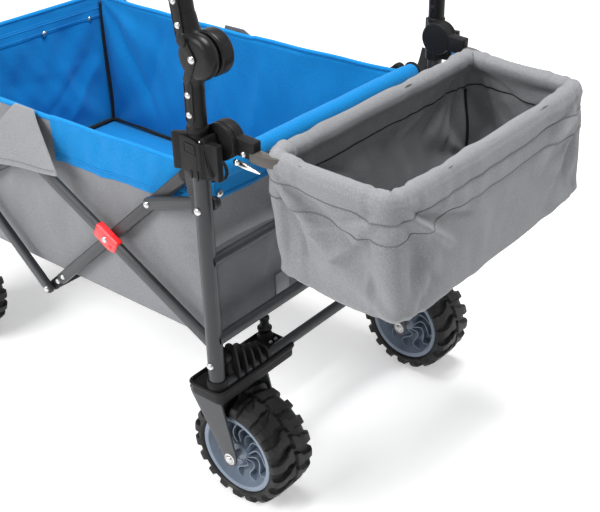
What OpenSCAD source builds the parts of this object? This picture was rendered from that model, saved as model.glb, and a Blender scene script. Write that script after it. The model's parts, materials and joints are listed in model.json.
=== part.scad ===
// Folding cart: two end frames joined by a double scissor on each side, with a cloth tub between
// them, a push handle and a cloth basket at the rear (+X), a pull handle at the front (-X), and
// four swivel casters. X runs along the cart, Y across it, and Z is up from the ground.

/* [Frame] */
// Distance between the front and rear posts
wheelbase = 850; // [760:5:1020]
// Distance between the left and right posts
post_gap = 580; // [540:5:700]
// Outer diameter of a post
post_d = 25.4; // [22:0.1:30]
// Outer diameter of a cross rail
rail_d = 18; // [16:0.5:22]
// Wall of the steel tubes
tube_wall = 1.5; // [1.2:0.1:2.5]
// Height of the top of a post
post_top_z = 640; // [620:5:700]
// Height of the lower rail
lower_rail_z = 234; // [234:1:242]
// Height of the upper rail
upper_rail_z = 322; // [320:1:335]

/* [Scissor] */
// Height of the long bar's pivot on the post
foot_pivot_z = 276; // [272:1:280]
// Height of the pivot where the two long bars meet
top_pivot_z = 501; // [470:1:530]
// Height of the pivot where the two short bars meet
bottom_pivot_z = 242; // [236:1:248]
// Share of the half length at which the bars cross, counted from the middle
cross_share = 0.43; // [0.38:0.01:0.48]
// Height of the link's pivot on the post
link_pivot_z = 541; // [525:1:550]
// How far the short bar runs on past the crossing
short_bar_tail = 255; // [220:5:260]
// Distance from the crossing to the link's pivot on the short bar
link_reach = 142; // [130:1:150]
// Width of a bar
bar_w = 20; // [18:1:22]
// Thickness of a bar, across the cart
bar_t = 12; // [10:0.5:13]
// Radius of a pivot rivet
rivet_r = 4; // [3:0.5:5]

/* [Tub] */
// Inside length of the tub
tub_len = 788; // [700:1:800]
// Height of the underside of the tub
tub_floor_z = 277; // [270:1:290]
// Height of the tub's top edge
tub_top_z = 575; // [540:1:595]
// Thickness of the padded floor board
floor_t = 15; // [8:1:20]
// Thickness of the tub's cloth wall with its lining
wall_t = 6; // [3:0.5:8]
// Radius of the padded roll on the rear edge
roll_r = 17; // [12:1:20]

/* [Casters] */
// Radius of a tyre
tyre_r = 95; // [80:1:96]
// Width of a tyre
tyre_w = 92; // [60:1:96]
// Radius of the hub, where the tyre sits
hub_r = 71; // [55:1:76]
// Distance that a wheel trails behind its kingpin
trail = 46; // [30:1:55]
// How far a kingpin stands inboard of the post, across the cart
king_in_y = 54; // [50:1:60]
// How far a kingpin stands inboard of the post, along the cart
king_in_x = 30; // [20:1:40]
// Radius of a kingpin
king_r = 8; // [6:0.5:10]
// Radius of an axle
axle_r = 6; // [5:0.5:8]

/* [Push handle] */
// Height of the handle's hinge
drum_z = 771; // [755:1:800]
// Radius of the hinge drum
drum_r = 31; // [28:1:36]
// Diameter of the handle tube
handle_d = 28; // [25:1:32]
// Height of the middle of the grip
grip_z = 1010; // [960:5:1100]
// Lean of the handle towards the front, in degrees
handle_lean = 9; // [0:1:15]

/* [Basket] */
// Length of the basket along the cart
basket_len = 212; // [180:1:260]
// Depth of the basket
basket_h = 175; // [140:1:200]
// Diameter of the rim tube
rim_d = 16; // [12:1:18]
// Height of the basket's hinge
knuckle_z = 643; // [640:1:660]
// Radius of the basket's hinge discs
knuckle_r = 27; // [22:1:28]

/* [Pull handle] */
// Length of the outer pull tube
pull_len = 400; // [340:5:420]
// Width of the pull grip
pull_grip_w = 130; // [110:5:160]

/* [Hidden] */

$fn = 48;
run_fit = 0.05;      // radial clearance of a running fit
air = 1.5;           // space between layers of bars
half = wheelbase / 2;
post_y = post_gap / 2;
post_r = post_d / 2;

// the two layers that the scissor bars lie in, as their outer faces
layer_1 = post_y - post_r - 0.8;
layer_2 = layer_1 - bar_t - air;
tub_y = layer_2 - bar_t - 2;

// pivots of the scissor in the side view, for the rear half
foot_pivot = [half, foot_pivot_z];
top_pivot = [0, top_pivot_z];
bottom_pivot = [0, bottom_pivot_z];
cross_x = half * cross_share;
cross_pivot = [cross_x, top_pivot_z + (foot_pivot_z - top_pivot_z) * cross_share];
short_dir = (cross_pivot - bottom_pivot) / norm(cross_pivot - bottom_pivot);
short_end = cross_pivot + short_bar_tail * short_dir;
link_joint = cross_pivot + link_reach * short_dir;
link_pivot = [half, link_pivot_z];

// heights in the casters and the feet that carry them
axle_z = tyre_r;
crown_z = 202;
crown_t = 5;
race_top = 211.5;
foot_z = 212;
foot_t = 24;
fork_half = 52;      // from the wheel's middle to the inner face of a leg
leg_t = 4;
king_y = post_y - king_in_y;
lock_reach = 91;     // from a kingpin to the lock pin beside it
lock_r = 4;

rail_x = half + 8;
drum_x = half + 27;
drum_in = layer_1 - 8;
drum_out = post_y + 26;
knuckle_x = half + 24;
tub_half = tub_len / 2;
handle_r = handle_d / 2;
stub_z = 668;
pull_x = -half - 34;
pull_z = lower_rail_z;

// basket box, in the side view
basket_x = half + 86;
basket_top = knuckle_z - 10;
basket_y = tub_y + 6;
bag_t = 5;

rivet_head_t = 2.5;
plate_t = 4;         // floor of a foot under its post
rib_h = 34;
boss_h = 4;
cross_rail_z = 457;
king_x = half - king_in_x;
lock_y = king_y - lock_reach;
knob_z = 250;
foot_x0 = king_x - 45;
foot_x1 = half + 22;
foot_y0 = lock_y - 16;
foot_y1 = post_y + 18;
bracket_z0 = 595;
bracket_z1 = 650;
drum_split = post_y + 2;
neck_z = 725;
bar_start = 45;
bend_r = 60;
pin_r = 5;
bar_top = (grip_z - drum_z) / cos(handle_lean);
grip_half = post_y - bend_r - 60;
knuckle_out = layer_1 + 0.4;
knuckle_split = layer_1 - 7.5;
knuckle_in = tub_y + 2;
basket_droop = 3;
socket_len = 56;
lever_p = [knuckle_x + 27, knuckle_z - 23];
lever_pin_r = 4;
lever_t = 2.4;
lever_dip = 16;
bag_lean = 14;
fitting_len = 40;
clip_t = 2.5;
clevis_y = 14;
pull_r = 13;
pull_pin_r = 5;

// the cart reaches from the pull clevis to the basket; its middle goes over the origin
front_reach = half + 50;
rear_reach = knuckle_x
    + (basket_x + basket_len + bag_lean - knuckle_x) * cos(basket_droop)
    + (basket_top - basket_h - knuckle_z) * sin(basket_droop);
origin_x = (front_reach - rear_reach) / 2;

module pair() {
    children();
    mirror([0, 1, 0]) children();
}

// a hollow round tube standing on its end
module tube(d, l, wall = tube_wall) {
    difference() {
        cylinder(d = d, h = l);
        translate([0, 0, -1]) cylinder(d = d - 2 * wall, h = l + 2);
    }
}

// a hollow tube along Y between two faces
module cross_tube(d, x, z, y0, y1) {
    translate([x, y0, z]) rotate([-90, 0, 0]) tube(d, y1 - y0);
}

// a disc or pin along Y
module disc_y(x, z, y0, y1, r) {
    translate([x, y0, z]) rotate([-90, 0, 0]) cylinder(r = r, h = y1 - y0);
}

// a flat bar's outline in the side view between points p and q, with round ends
module bar_outline(p, q, w) {
    v = q - p;
    translate(p) rotate(atan2(v[1], v[0])) {
        translate([0, -w / 2]) square([norm(v), w]);
        circle(d = w);
        translate([norm(v), 0]) circle(d = w);
    }
}

// a hollow bar between p and q, its outer face at y_out, drilled at each point in holes
module bar(p, q, y_out, holes) {
    v = q - p;
    difference() {
        translate([0, bar_t - y_out, 0]) rotate([90, 0, 0]) linear_extrude(bar_t)
            difference() {
                bar_outline(p, q, bar_w);
                for (h = holes) translate(h) circle(r = rivet_r + run_fit);
            }
        translate([p[0], bar_t / 2 - y_out, p[1]]) rotate([0, -atan2(v[1], v[0]), 0])
            translate([norm(v) / 2, 0, 0])
                cube([norm(v) + 2 * bar_w, bar_t - 2 * tube_wall, bar_w - 2 * tube_wall],
                     center = true);
    }
}

// a rivet along Y at p, from the outer face at y_out to the inner end at y_in
module rivet(p, y_out, y_in, r = rivet_r) {
    disc_y(p[0], p[1], -y_out, -y_in, r);
    disc_y(p[0], p[1], -y_out - rivet_head_t, -y_out, 1.7 * r);
}

function mirror_x(p) = [-p[0], p[1]];

// one post, standing on its foot, with the holes of its two pivots; s is +1 rear, -1 front
module post(s) {
    difference() {
        translate([s * half, -post_y, foot_z + plate_t]) tube(post_d, post_top_z - foot_z - plate_t);
        for (z = [foot_pivot_z, link_pivot_z])
            disc_y(s * half, z, -post_y - post_d, -post_y + post_d, rivet_r + run_fit);
    }
}

// three rails between the posts of one end frame, coped to the posts
module rails(s) {
    for (z = [lower_rail_z, upper_rail_z, cross_rail_z]) difference() {
        cross_tube(rail_d, s * rail_x, z, -post_y, post_y);
        pair() translate([s * half, -post_y, z - rail_d]) cylinder(r = post_r, h = 2 * rail_d);
    }
}

// moulded foot that joins a post to the lower rail and carries a caster
module foot(s) {
    difference() {
        union() {
            translate([s > 0 ? foot_x0 : -foot_x1, -foot_y1, foot_z])
                cube([foot_x1 - foot_x0, foot_y1 - foot_y0, foot_t]);
            for (i = [0:3]) translate([s * (rail_x - 20), -tub_y + 6 + i * 22, foot_z + foot_t])
                rotate([90, 0, 0]) linear_extrude(4)
                    polygon([[-s * 42, 0], [s * 18, 0], [s * 18, rib_h], [s * 2, rib_h]]);
            translate([s * king_x, -lock_y, foot_z + foot_t]) cylinder(r = 11, h = boss_h);
        }
        translate([s * half, -post_y, foot_z + plate_t]) cylinder(r = post_r, h = foot_t + rib_h);
        translate([s * king_x, -king_y, foot_z - 1]) cylinder(r = king_r + run_fit, h = 18);
        translate([s * king_x, -lock_y, foot_z - 1])
            cylinder(r = lock_r + run_fit, h = foot_t + boss_h + 2);
        disc_y(s * rail_x, lower_rail_z, -post_y, 0, rail_d / 2);
        translate([s * half, -post_y, foot_pivot_z]) rotate([-90, 0, 0])
            cylinder(r = bar_w / 2 + 1, h = post_y - tub_y);
    }
}

module rear_post_left() { color("dimgray") post(1); }
module rear_post_right() { color("dimgray") mirror([0, 1, 0]) post(1); }
module rear_rails() { color("dimgray") rails(1); }
module rear_feet() { color("black") pair() foot(1); }
module front_post_left() { color("dimgray") post(-1); }
module front_post_right() { color("dimgray") mirror([0, 1, 0]) post(-1); }
module front_rails() { color("dimgray") rails(-1); }
module front_feet() { color("black") pair() foot(-1); }

// moulded corner bracket that clamps the top of a rear post and carries the handle stub
module corner_bracket() {
    difference() {
        union() {
            translate([half, -post_y, bracket_z0])
                cylinder(r = post_r + 4, h = bracket_z1 - bracket_z0);
            translate([half - 27, -post_y - post_r - 5, bracket_z0])
                cube([44, 6, bracket_z1 - bracket_z0]);
            translate([half + 6, -post_y - post_r - 2, bracket_z0 + 4])
                cube([14, post_r + 14, bracket_z1 - bracket_z0 - 4]);
            translate([half, -post_y, bracket_z1]) cylinder(r = post_r + 3, h = stub_z - bracket_z1);
        }
        translate([half, -post_y, bracket_z0 - 1])
            cylinder(r = post_r, h = post_top_z - bracket_z0 + 1);
        translate([half - post_d, -knuckle_out, bracket_z0 - 1]) cube([2 * post_d + 2, 20, 90]);
        translate([half + 27, -post_y + 13, bracket_z0 - 1]) cylinder(r = 15, h = 90);
    }
}

module corner_brackets() { color("#1c1c1e") pair() corner_bracket(); }

// lower handle tube, which stands on the corner bracket
module handle_stubs() {
    color("#1a1a1c") pair() translate([half, -post_y, stub_z]) tube(handle_d, neck_z - stub_z, 2);
}

// outer half of the handle's hinge drum, fixed to the stub by its neck
module drum_housings() {
    color("#151517") pair() {
        difference() {
            union() {
                disc_y(drum_x, drum_z, -drum_out, -drum_split, drum_r);
                intersection() {
                    translate([half, -post_y, neck_z])
                        cylinder(r = handle_r, h = drum_z - neck_z + 8);
                    translate([half - handle_r, -post_y - handle_r, neck_z])
                        cube([handle_d, post_y + handle_r - drum_split, drum_z]);
                }
            }
            disc_y(drum_x, drum_z, -drum_out - 1, -drum_in, pin_r + run_fit);
        }
    }
}

// inner half of the drum with its pin; it turns, and its neck holds the handle
module drum_rotors() {
    color("#151517") pair() {
        disc_y(drum_x, drum_z, -drum_out + 2, -drum_split, pin_r);
        disc_y(drum_x, drum_z, -drum_split + 0.4, -drum_in, drum_r);
        translate([drum_x, 0, drum_z]) rotate([0, -handle_lean, 0]) intersection() {
            translate([half - drum_x, -post_y, 0]) cylinder(r = handle_r, h = bar_start);
            translate([half - drum_x - handle_r, -drum_split + 0.4, 0])
                cube([handle_d, handle_d, bar_start]);
        }
    }
}

// U-shaped push bar, in the handle's own frame from the drum axis
module push_bar() {
    color("#1a1a1c") translate([drum_x, 0, drum_z]) rotate([0, -handle_lean, 0])
        translate([half - drum_x, 0, 0]) {
            pair() {
                translate([0, -post_y, bar_start]) tube(handle_d, bar_top - bend_r - bar_start, 2);
                translate([0, -post_y + bend_r, bar_top - bend_r]) rotate([0, -90, 180])
                    rotate_extrude(angle = 90) translate([bend_r, 0]) difference() {
                        circle(r = handle_r);
                        circle(r = handle_r - 2);
                    }
            }
            cross_tube(handle_d, 0, bar_top, -post_y + bend_r, post_y - bend_r);
        }
}

module push_grip() {
    color("#101010") translate([drum_x, 0, drum_z]) rotate([0, -handle_lean, 0])
        translate([half - drum_x, -grip_half, bar_top]) rotate([-90, 0, 0]) difference() {
            cylinder(r = handle_r + 4, h = 2 * grip_half);
            translate([0, 0, -1]) cylinder(r = handle_r, h = 2 * grip_half + 2);
        }
}

// fixed disc of the basket's hinge, on the inner side of the bracket
module basket_knuckles() {
    color("#1c1c1e") pair() difference() {
        disc_y(knuckle_x, knuckle_z, -knuckle_out, -knuckle_split, knuckle_r);
        disc_y(knuckle_x, knuckle_z, -knuckle_out - 1, -knuckle_split + 1, pin_r + run_fit);
        translate([half + 27, -post_y + 13, knuckle_z - 60]) cylinder(r = 10, h = 20);
    }
}

// what the basket hangs from turns about the knuckle; its frame is level before the droop
module about_knuckle() {
    translate([knuckle_x, 0, knuckle_z]) rotate([0, basket_droop, 0])
        translate([-knuckle_x, 0, -knuckle_z]) children();
}

module knuckle_rotors() {
    color("#1c1c1e") about_knuckle() pair() {
        disc_y(knuckle_x, knuckle_z, -knuckle_out + 1, -knuckle_split + 0.4, pin_r);
        difference() {
            union() {
                disc_y(knuckle_x, knuckle_z, -knuckle_split + 0.4, -knuckle_in, knuckle_r);
                translate([knuckle_x, -knuckle_split + 0.4, knuckle_z - 16])
                    cube([socket_len, knuckle_split - 0.4 - knuckle_in, 28]);
            }
            disc_y(lever_p[0], lever_p[1], -post_y, -post_y + 60, lever_pin_r + run_fit);
        }
    }
}

// rim of square tube: two arms in the sockets, a wide front bar and a narrower loop behind it
module basket_frame() {
    rim_in = basket_y - rim_d;
    color("dimgray") about_knuckle() {
        pair() translate([knuckle_x + socket_len, -knuckle_split + 0.8, basket_top - rim_d / 2])
            cube([basket_x - knuckle_x - socket_len, rim_d, rim_d]);
        difference() {
            union() {
                translate([basket_x, -knuckle_split + 0.8, basket_top - rim_d / 2])
                    cube([rim_d, 2 * knuckle_split - 1.6, rim_d]);
                translate([basket_x, -basket_y, basket_top - rim_d / 2])
                    cube([basket_len, 2 * basket_y, rim_d]);
            }
            translate([basket_x + rim_d, -rim_in, basket_top - rim_d])
                cube([basket_len - 2 * rim_d, 2 * rim_in, 2 * rim_d]);
        }
    }
}

// cloth basket: a box whose floor sits further back than its mouth
module basket_bag() {
    top = basket_top - rim_d / 2;
    floor_z = basket_top - basket_h;
    module side_view(d) {
        polygon([[basket_x + d, top + (d > 0 ? 1 : 0)], [basket_x + basket_len - d, top + (d > 0 ? 1 : 0)],
                 [basket_x + basket_len + bag_lean - d, floor_z + d],
                 [basket_x + bag_lean + d, floor_z + d]]);
    }
    color("gray") about_knuckle() difference() {
        translate([0, basket_y, 0]) rotate([90, 0, 0])
            linear_extrude(2 * basket_y) side_view(0);
        translate([0, basket_y - bag_t, 0]) rotate([90, 0, 0])
            linear_extrude(2 * (basket_y - bag_t)) side_view(bag_t);
    }
}

// chrome lever under a socket; it turns on its own pin
module release_lever() {
    color("silver") about_knuckle() {
        disc_y(lever_p[0], lever_p[1], -knuckle_split - 0.4, -knuckle_in - 2, lever_pin_r);
        translate([0, -knuckle_split - 0.4, 0]) rotate([90, 0, 0]) linear_extrude(lever_t) {
            translate(lever_p) circle(r = 7);
            bar_outline(lever_p, lever_p + 42 * [cos(lever_dip), -sin(lever_dip)], 8);
        }
    }
}

module release_lever_left() { release_lever(); }
module release_lever_right() { mirror([0, 1, 0]) release_lever(); }

// end wall of the tub; s is +1 rear, -1 front
module tub_end(s) {
    top = s > 0 ? tub_top_z + 5 - roll_r : tub_top_z;
    translate([s > 0 ? tub_half : -tub_half - wall_t, -tub_y, tub_floor_z])
        cube([wall_t, 2 * tub_y, top - tub_floor_z]);
}

module tub_end_rear() { color("gray") tub_end(1); }
module tub_end_front() { color("royalblue") tub_end(-1); }

module tub_side() {
    translate([-tub_half, -tub_y, tub_floor_z]) cube([tub_len, wall_t, tub_top_z - tub_floor_z]);
}

module tub_side_left() { color("royalblue") tub_side(); }
module tub_side_right() { color("royalblue") mirror([0, 1, 0]) tub_side(); }

module tub_floor() {
    color("royalblue") translate([-tub_half, -tub_y + wall_t, tub_floor_z])
        cube([tub_len, 2 * (tub_y - wall_t), floor_t]);
}

// padded roll along the top of the rear wall
module rear_edge_roll() {
    color("royalblue") disc_y(tub_half + roll_r + 0.5, tub_top_z + 5, -tub_y + 2, tub_y - 2, roll_r);
}

// rivets that hold the bars and links to the posts of one end; the front ones carry spacers
module post_rivets(s) {
    y_out = post_y + post_r;
    y_in = s > 0 ? layer_2 + 0.6 : tub_y + 1.6;
    pair() for (z = [foot_pivot_z, link_pivot_z]) {
        rivet([s * half, z], y_out, y_in);
        if (s < 0) difference() {
            disc_y(s * half, z, -layer_1, -layer_2 - 0.4, 2 * rivet_r);
            disc_y(s * half, z, -layer_1 - 1, -layer_2 + 1, rivet_r);
        }
    }
}

module rear_rivets() { color("silver") post_rivets(1); }
module front_rivets() { color("silver") post_rivets(-1); }

module front_caps() {
    color("black") pair() translate([-half, -post_y, post_top_z]) {
        cylinder(r = post_r + 1.5, h = 6);
    }
}

// clevis on the front lower rail with the pin of the pull handle
module pull_clevis() {
    color("dimgray") difference() {
        union() {
            translate([pull_x - 4, -clevis_y - 6, pull_z - 13])
                cube([-rail_x - pull_x + 4, 2 * clevis_y + 12, 26]);
            disc_y(pull_x - 4, pull_z, -clevis_y - 6, clevis_y + 6, 13);
        }
        translate([pull_x - 30, -clevis_y, pull_z - 20])
            cube([-rail_x - rail_d / 2 - 2 - pull_x + 30, 2 * clevis_y, 40]);
        disc_y(pull_x, pull_z, -clevis_y - 8, clevis_y + 8, pull_pin_r);
        disc_y(-rail_x, pull_z, -post_y, post_y, rail_d / 2);
    }
    color("silver") disc_y(pull_x, pull_z, -clevis_y - 8, clevis_y + 8, pull_pin_r);
}

module pull_outer_tube() {
    color("#1a1a1c") {
        difference() {
            union() {
                disc_y(pull_x, pull_z, -clevis_y + 0.6, clevis_y - 0.6, pull_r);
                translate([pull_x, 0, pull_z]) cylinder(r = pull_r, h = 30);
            }
            disc_y(pull_x, pull_z, -post_y, post_y, pull_pin_r + run_fit);
        }
        translate([pull_x, 0, pull_z + 30]) tube(2 * pull_r, pull_len - 30, 1.5);
    }
}

module pull_inner_tube() {
    color("silver") translate([pull_x, 0, pull_z + 40])
        tube(2 * (pull_r - 1.5 - run_fit), pull_len - 10, 1.5);
}

// closed loop grip on the inner tube
module pull_grip() {
    w = pull_grip_w;
    color("#101010") translate([pull_x, 0, pull_z + pull_len + 30]) rotate([90, 0, 90])
        translate([0, 0, -11]) linear_extrude(22) difference() {
            polygon([[-16, 0], [16, 0], [w / 2, 30], [w / 2, 94], [-w / 2, 94], [-w / 2, 30]]);
            polygon([[-14, 24], [14, 24], [w / 2 - 15, 40], [w / 2 - 15, 78], [15 - w / 2, 78],
                     [15 - w / 2, 40]]);
        }
}

module long_bars_rear() {
    color("dimgray") pair() {
        bar(foot_pivot, top_pivot, layer_1, [foot_pivot, cross_pivot, top_pivot]);
        for (p = [cross_pivot, top_pivot]) rivet(p, layer_1, tub_y + 1.6);
    }
}

module long_bars_front() {
    f = mirror_x(foot_pivot);
    k = mirror_x(cross_pivot);
    color("dimgray") pair() {
        bar(f, top_pivot, layer_2, [f, k, top_pivot]);
        disc_y(k[0], k[1], -layer_1, -layer_2 + bar_t + 0.4, rivet_r);
    }
}

// the rear short bars stop at their end fittings; the front ones run to the lower pivot
module short_bars_rear() {
    color("dimgray") pair()
        bar(bottom_pivot + fitting_len * short_dir, short_end, layer_2, [cross_pivot]);
}

module short_bars_front() {
    k = mirror_x(cross_pivot);
    color("dimgray") pair() {
        bar(bottom_pivot, mirror_x(short_end), layer_1, [bottom_pivot, k]);
        rivet(bottom_pivot, layer_1, layer_2 + 0.6);
    }
}

// end fittings of the rear short bars with the tube that crosses under the floor
module floor_cross_bar() {
    color("#1c1c1e") {
        pair() translate([0, bar_t - layer_2, 0]) rotate([90, 0, 0]) linear_extrude(bar_t)
            translate(bottom_pivot) rotate(atan2(short_dir[1], short_dir[0])) {
                circle(d = bar_w);
                translate([0, -bar_w / 2]) square([fitting_len - bar_w / 2, bar_w]);
            }
        cross_tube(rail_d, bottom_pivot[0], bottom_pivot[1], bar_t - layer_2, layer_2 - bar_t);
    }
}

// U-shaped clip over the outer bar where the bars cross
module pivot_clip(p, q, at) {
    v = q - p;
    difference() {
        translate([at[0], -layer_1 + bar_t / 2 - clip_t / 2 - 0.1, at[1]])
            rotate([0, -atan2(v[1], v[0]), 0])
                cube([46, bar_t + clip_t - 0.8, bar_w + 2 * clip_t], center = true);
        translate([0, 40 - layer_1, 0]) rotate([90, 0, 0]) linear_extrude(40)
            bar_outline(p, q, bar_w);
        disc_y(at[0], at[1], -layer_1 - 10, -layer_1 + 2, 1.75 * rivet_r);
    }
}

module pivot_clips_rear() {
    color("red") pair() pivot_clip(foot_pivot, top_pivot, cross_pivot);
}

module pivot_clips_front() {
    color("red") pair() pivot_clip(bottom_pivot, mirror_x(short_end), mirror_x(cross_pivot));
}

module link_bar(s) {
    p = s > 0 ? link_pivot : mirror_x(link_pivot);
    q = s > 0 ? link_joint : mirror_x(link_joint);
    y_out = s > 0 ? layer_1 : layer_2;
    color("dimgray") pair() {
        bar(p, q, y_out, [p, q]);
        disc_y(q[0], q[1], -y_out, -y_out + bar_t, rivet_r);
    }
}

module links_rear() { link_bar(1); }
module links_front() { link_bar(-1); }

// caster at the -Y side; s is +1 rear, -1 front. The wheel trails towards +X at rest.
module at_king(s) {
    translate([s * king_x, -king_y, 0]) children();
}

// fork: kingpin, thrust race, crown with an ear for the lock pin, two legs, and the axle
module fork(s) {
    color("dimgray") at_king(s) {
        translate([0, 0, crown_z]) cylinder(r = king_r, h = foot_z + 14 - crown_z);
        difference() {
            union() {
                translate([-34, -fork_half - leg_t, crown_z]) cube([68, 2 * (fork_half + leg_t), crown_t]);
                translate([-12, 0, crown_z]) cube([24, lock_reach + 12, crown_t]);
                translate([0, 0, crown_z + crown_t]) cylinder(r = 28, h = race_top - crown_z - crown_t);
            }
            translate([0, 0, crown_z - 1]) cylinder(r = king_r, h = 20);
            translate([0, lock_reach, crown_z - 1]) cylinder(r = lock_r + 0.4, h = crown_t + 2);
        }
        for (side = [-fork_half, fork_half + leg_t]) difference() {
            translate([0, side, 0]) rotate([90, 0, 0]) linear_extrude(leg_t) {
                polygon([[-34, crown_z], [34, crown_z], [trail + 15, axle_z + 4],
                         [trail + 15, axle_z], [trail - 15, axle_z], [trail - 17, axle_z + 8]]);
                translate([trail, axle_z]) circle(r = 15);
            }
            disc_y(trail, axle_z, side - 10, side + 10, axle_r);
        }
        disc_y(trail, axle_z, -fork_half - leg_t - 5, fork_half + leg_t + 5, axle_r);
        for (side = [-1, 1]) translate([trail, side * (fork_half + leg_t + 2.5), axle_z])
            rotate([90, 0, 0]) difference() {
                cylinder(r = 10, h = 5, center = true);
                cylinder(r = axle_r, h = 7, center = true);
            }
    }
}

module tyre(s) {
    w = tyre_w / 2;
    color("#1b1b1b") at_king(s) translate([trail, 0, axle_z]) rotate([90, 0, 0]) rotate_extrude()
        polygon([[hub_r, -w + 6], [hub_r + 8, -w], [tyre_r - 9, -w + 2], [tyre_r - 2, -w + 14],
                 [tyre_r, -w + 30], [tyre_r, w - 30], [tyre_r - 2, w - 14], [tyre_r - 9, w - 2],
                 [hub_r + 8, w], [hub_r, w - 6]]);
}

// hub, whose web has the depth of its ribs
module hub(s) {
    w = tyre_w / 2 - 5;
    web = w - 6;
    bore = axle_r + run_fit;
    color("lightsteelblue") at_king(s) translate([trail, 0, axle_z]) rotate([90, 0, 0])
        rotate_extrude() polygon([
            [bore, -w], [18, -w], [20, -web], [hub_r - 14, -web], [hub_r - 8, -w], [hub_r, -w],
            [hub_r, w], [hub_r - 8, w], [hub_r - 14, web], [20, web], [18, w], [bore, w]]);
}

// spring plunger with a pull knob; it drops into the ear's hole to stop the swivel
module lock_knob(s) {
    color("#202022") translate([s * king_x, -lock_y, 0]) {
        translate([0, 0, race_top + 0.4]) cylinder(r = lock_r, h = knob_z + 20 - race_top);
        difference() {
            union() {
                translate([0, 0, knob_z]) cylinder(r = 12, h = 4);
                translate([0, 0, knob_z + 4]) cylinder(r = 8.5, h = 20);
            }
            translate([0, 0, knob_z - 1]) cylinder(r = lock_r, h = 21.4);
        }
    }
}

module fork_rear_left() { fork(1); }
module tyre_rear_left() { tyre(1); }
module hub_rear_left() { hub(1); }
module lock_knob_rear_left() { lock_knob(1); }
module fork_rear_right() { mirror([0, 1, 0]) fork(1); }
module tyre_rear_right() { mirror([0, 1, 0]) tyre(1); }
module hub_rear_right() { mirror([0, 1, 0]) hub(1); }
module lock_knob_rear_right() { mirror([0, 1, 0]) lock_knob(1); }
module fork_front_left() { fork(-1); }
module tyre_front_left() { tyre(-1); }
module hub_front_left() { hub(-1); }
module lock_knob_front_left() { lock_knob(-1); }
module fork_front_right() { mirror([0, 1, 0]) fork(-1); }
module tyre_front_right() { mirror([0, 1, 0]) tyre(-1); }
module hub_front_right() { mirror([0, 1, 0]) hub(-1); }
module lock_knob_front_right() { mirror([0, 1, 0]) lock_knob(-1); }

// everything stands in one frame whose origin is under the middle of the whole cart
module place() { translate([origin_x, 0, 0]) children(); }

place() rear_post_left();
place() rear_post_right();
place() rear_rails();
place() rear_feet();
place() corner_brackets();
place() handle_stubs();
place() drum_housings();
place() basket_knuckles();
place() tub_end_rear();
place() tub_side_left();
place() tub_side_right();
place() tub_floor();
place() rear_edge_roll();
place() rear_rivets();
place() front_post_left();
place() front_post_right();
place() front_rails();
place() front_feet();
place() front_caps();
place() tub_end_front();
place() front_rivets();
place() pull_clevis();
place() pull_outer_tube();
place() pull_inner_tube();
place() pull_grip();
place() long_bars_rear();
place() long_bars_front();
place() short_bars_rear();
place() short_bars_front();
place() floor_cross_bar();
place() pivot_clips_rear();
place() pivot_clips_front();
place() links_rear();
place() links_front();
place() fork_rear_left();
place() tyre_rear_left();
place() hub_rear_left();
place() lock_knob_rear_left();
place() fork_rear_right();
place() tyre_rear_right();
place() hub_rear_right();
place() lock_knob_rear_right();
place() fork_front_left();
place() tyre_front_left();
place() hub_front_left();
place() lock_knob_front_left();
place() fork_front_right();
place() tyre_front_right();
place() hub_front_right();
place() lock_knob_front_right();
place() push_bar();
place() push_grip();
place() drum_rotors();
place() basket_frame();
place() basket_bag();
place() knuckle_rotors();
place() release_lever_left();
place() release_lever_right();
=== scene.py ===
"""A folding wagon: the surfaces and finishes of its pieces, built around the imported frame.

Lengths are in metres. +X runs to the rear, where the push handle and the basket are, +Y to the
right side, and +Z up. Each shape is worked out as whole arrays: a grid of points over two
parameters, or a profile carried along a path. Shapes are worked out for the left side, at -Y,
and mirrored for the right one.
"""

import json
import logging
import math
from dataclasses import dataclass, field
from enum import Enum

import bmesh
import bpy
import numpy as np
from mathutils import Matrix, Vector


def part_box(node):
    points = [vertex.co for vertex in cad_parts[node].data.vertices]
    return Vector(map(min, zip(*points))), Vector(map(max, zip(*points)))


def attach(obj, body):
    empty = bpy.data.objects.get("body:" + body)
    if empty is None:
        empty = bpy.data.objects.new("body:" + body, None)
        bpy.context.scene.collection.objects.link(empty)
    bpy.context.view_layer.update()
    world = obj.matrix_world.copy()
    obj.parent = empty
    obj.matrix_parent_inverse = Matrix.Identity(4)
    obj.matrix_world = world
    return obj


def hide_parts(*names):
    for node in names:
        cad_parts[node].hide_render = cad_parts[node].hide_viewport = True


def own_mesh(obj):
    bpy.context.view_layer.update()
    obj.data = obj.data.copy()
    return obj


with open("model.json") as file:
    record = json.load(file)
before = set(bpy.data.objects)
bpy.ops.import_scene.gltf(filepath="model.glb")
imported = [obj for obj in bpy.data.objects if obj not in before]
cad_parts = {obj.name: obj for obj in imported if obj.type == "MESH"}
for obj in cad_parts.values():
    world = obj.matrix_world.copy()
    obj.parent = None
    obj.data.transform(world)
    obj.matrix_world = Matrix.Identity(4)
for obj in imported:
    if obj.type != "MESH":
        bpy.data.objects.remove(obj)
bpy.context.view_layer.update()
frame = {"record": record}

Array = np.ndarray
TAU = 2.0 * math.pi
WELD = 1e-5
METAL_TURN = 38.0
MOULD_TURN = 50.0
CLOTH_TURN = 60.0
log = logging.getLogger("wagon")


class End(Enum):
    """An end of the wagon, as the sign of its X."""

    REAR = 1
    FRONT = -1

    @property
    def word(self) -> str:
        """The end's name, as node names spell it."""
        return self.name.lower()


class Side(Enum):
    """A side of the wagon, as the sign of its Y."""

    LEFT = -1
    RIGHT = 1

    @property
    def word(self) -> str:
        """The side's name, as node names spell it."""
        return self.name.lower()


# ---------------------------------------------------------------- surfaces


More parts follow.
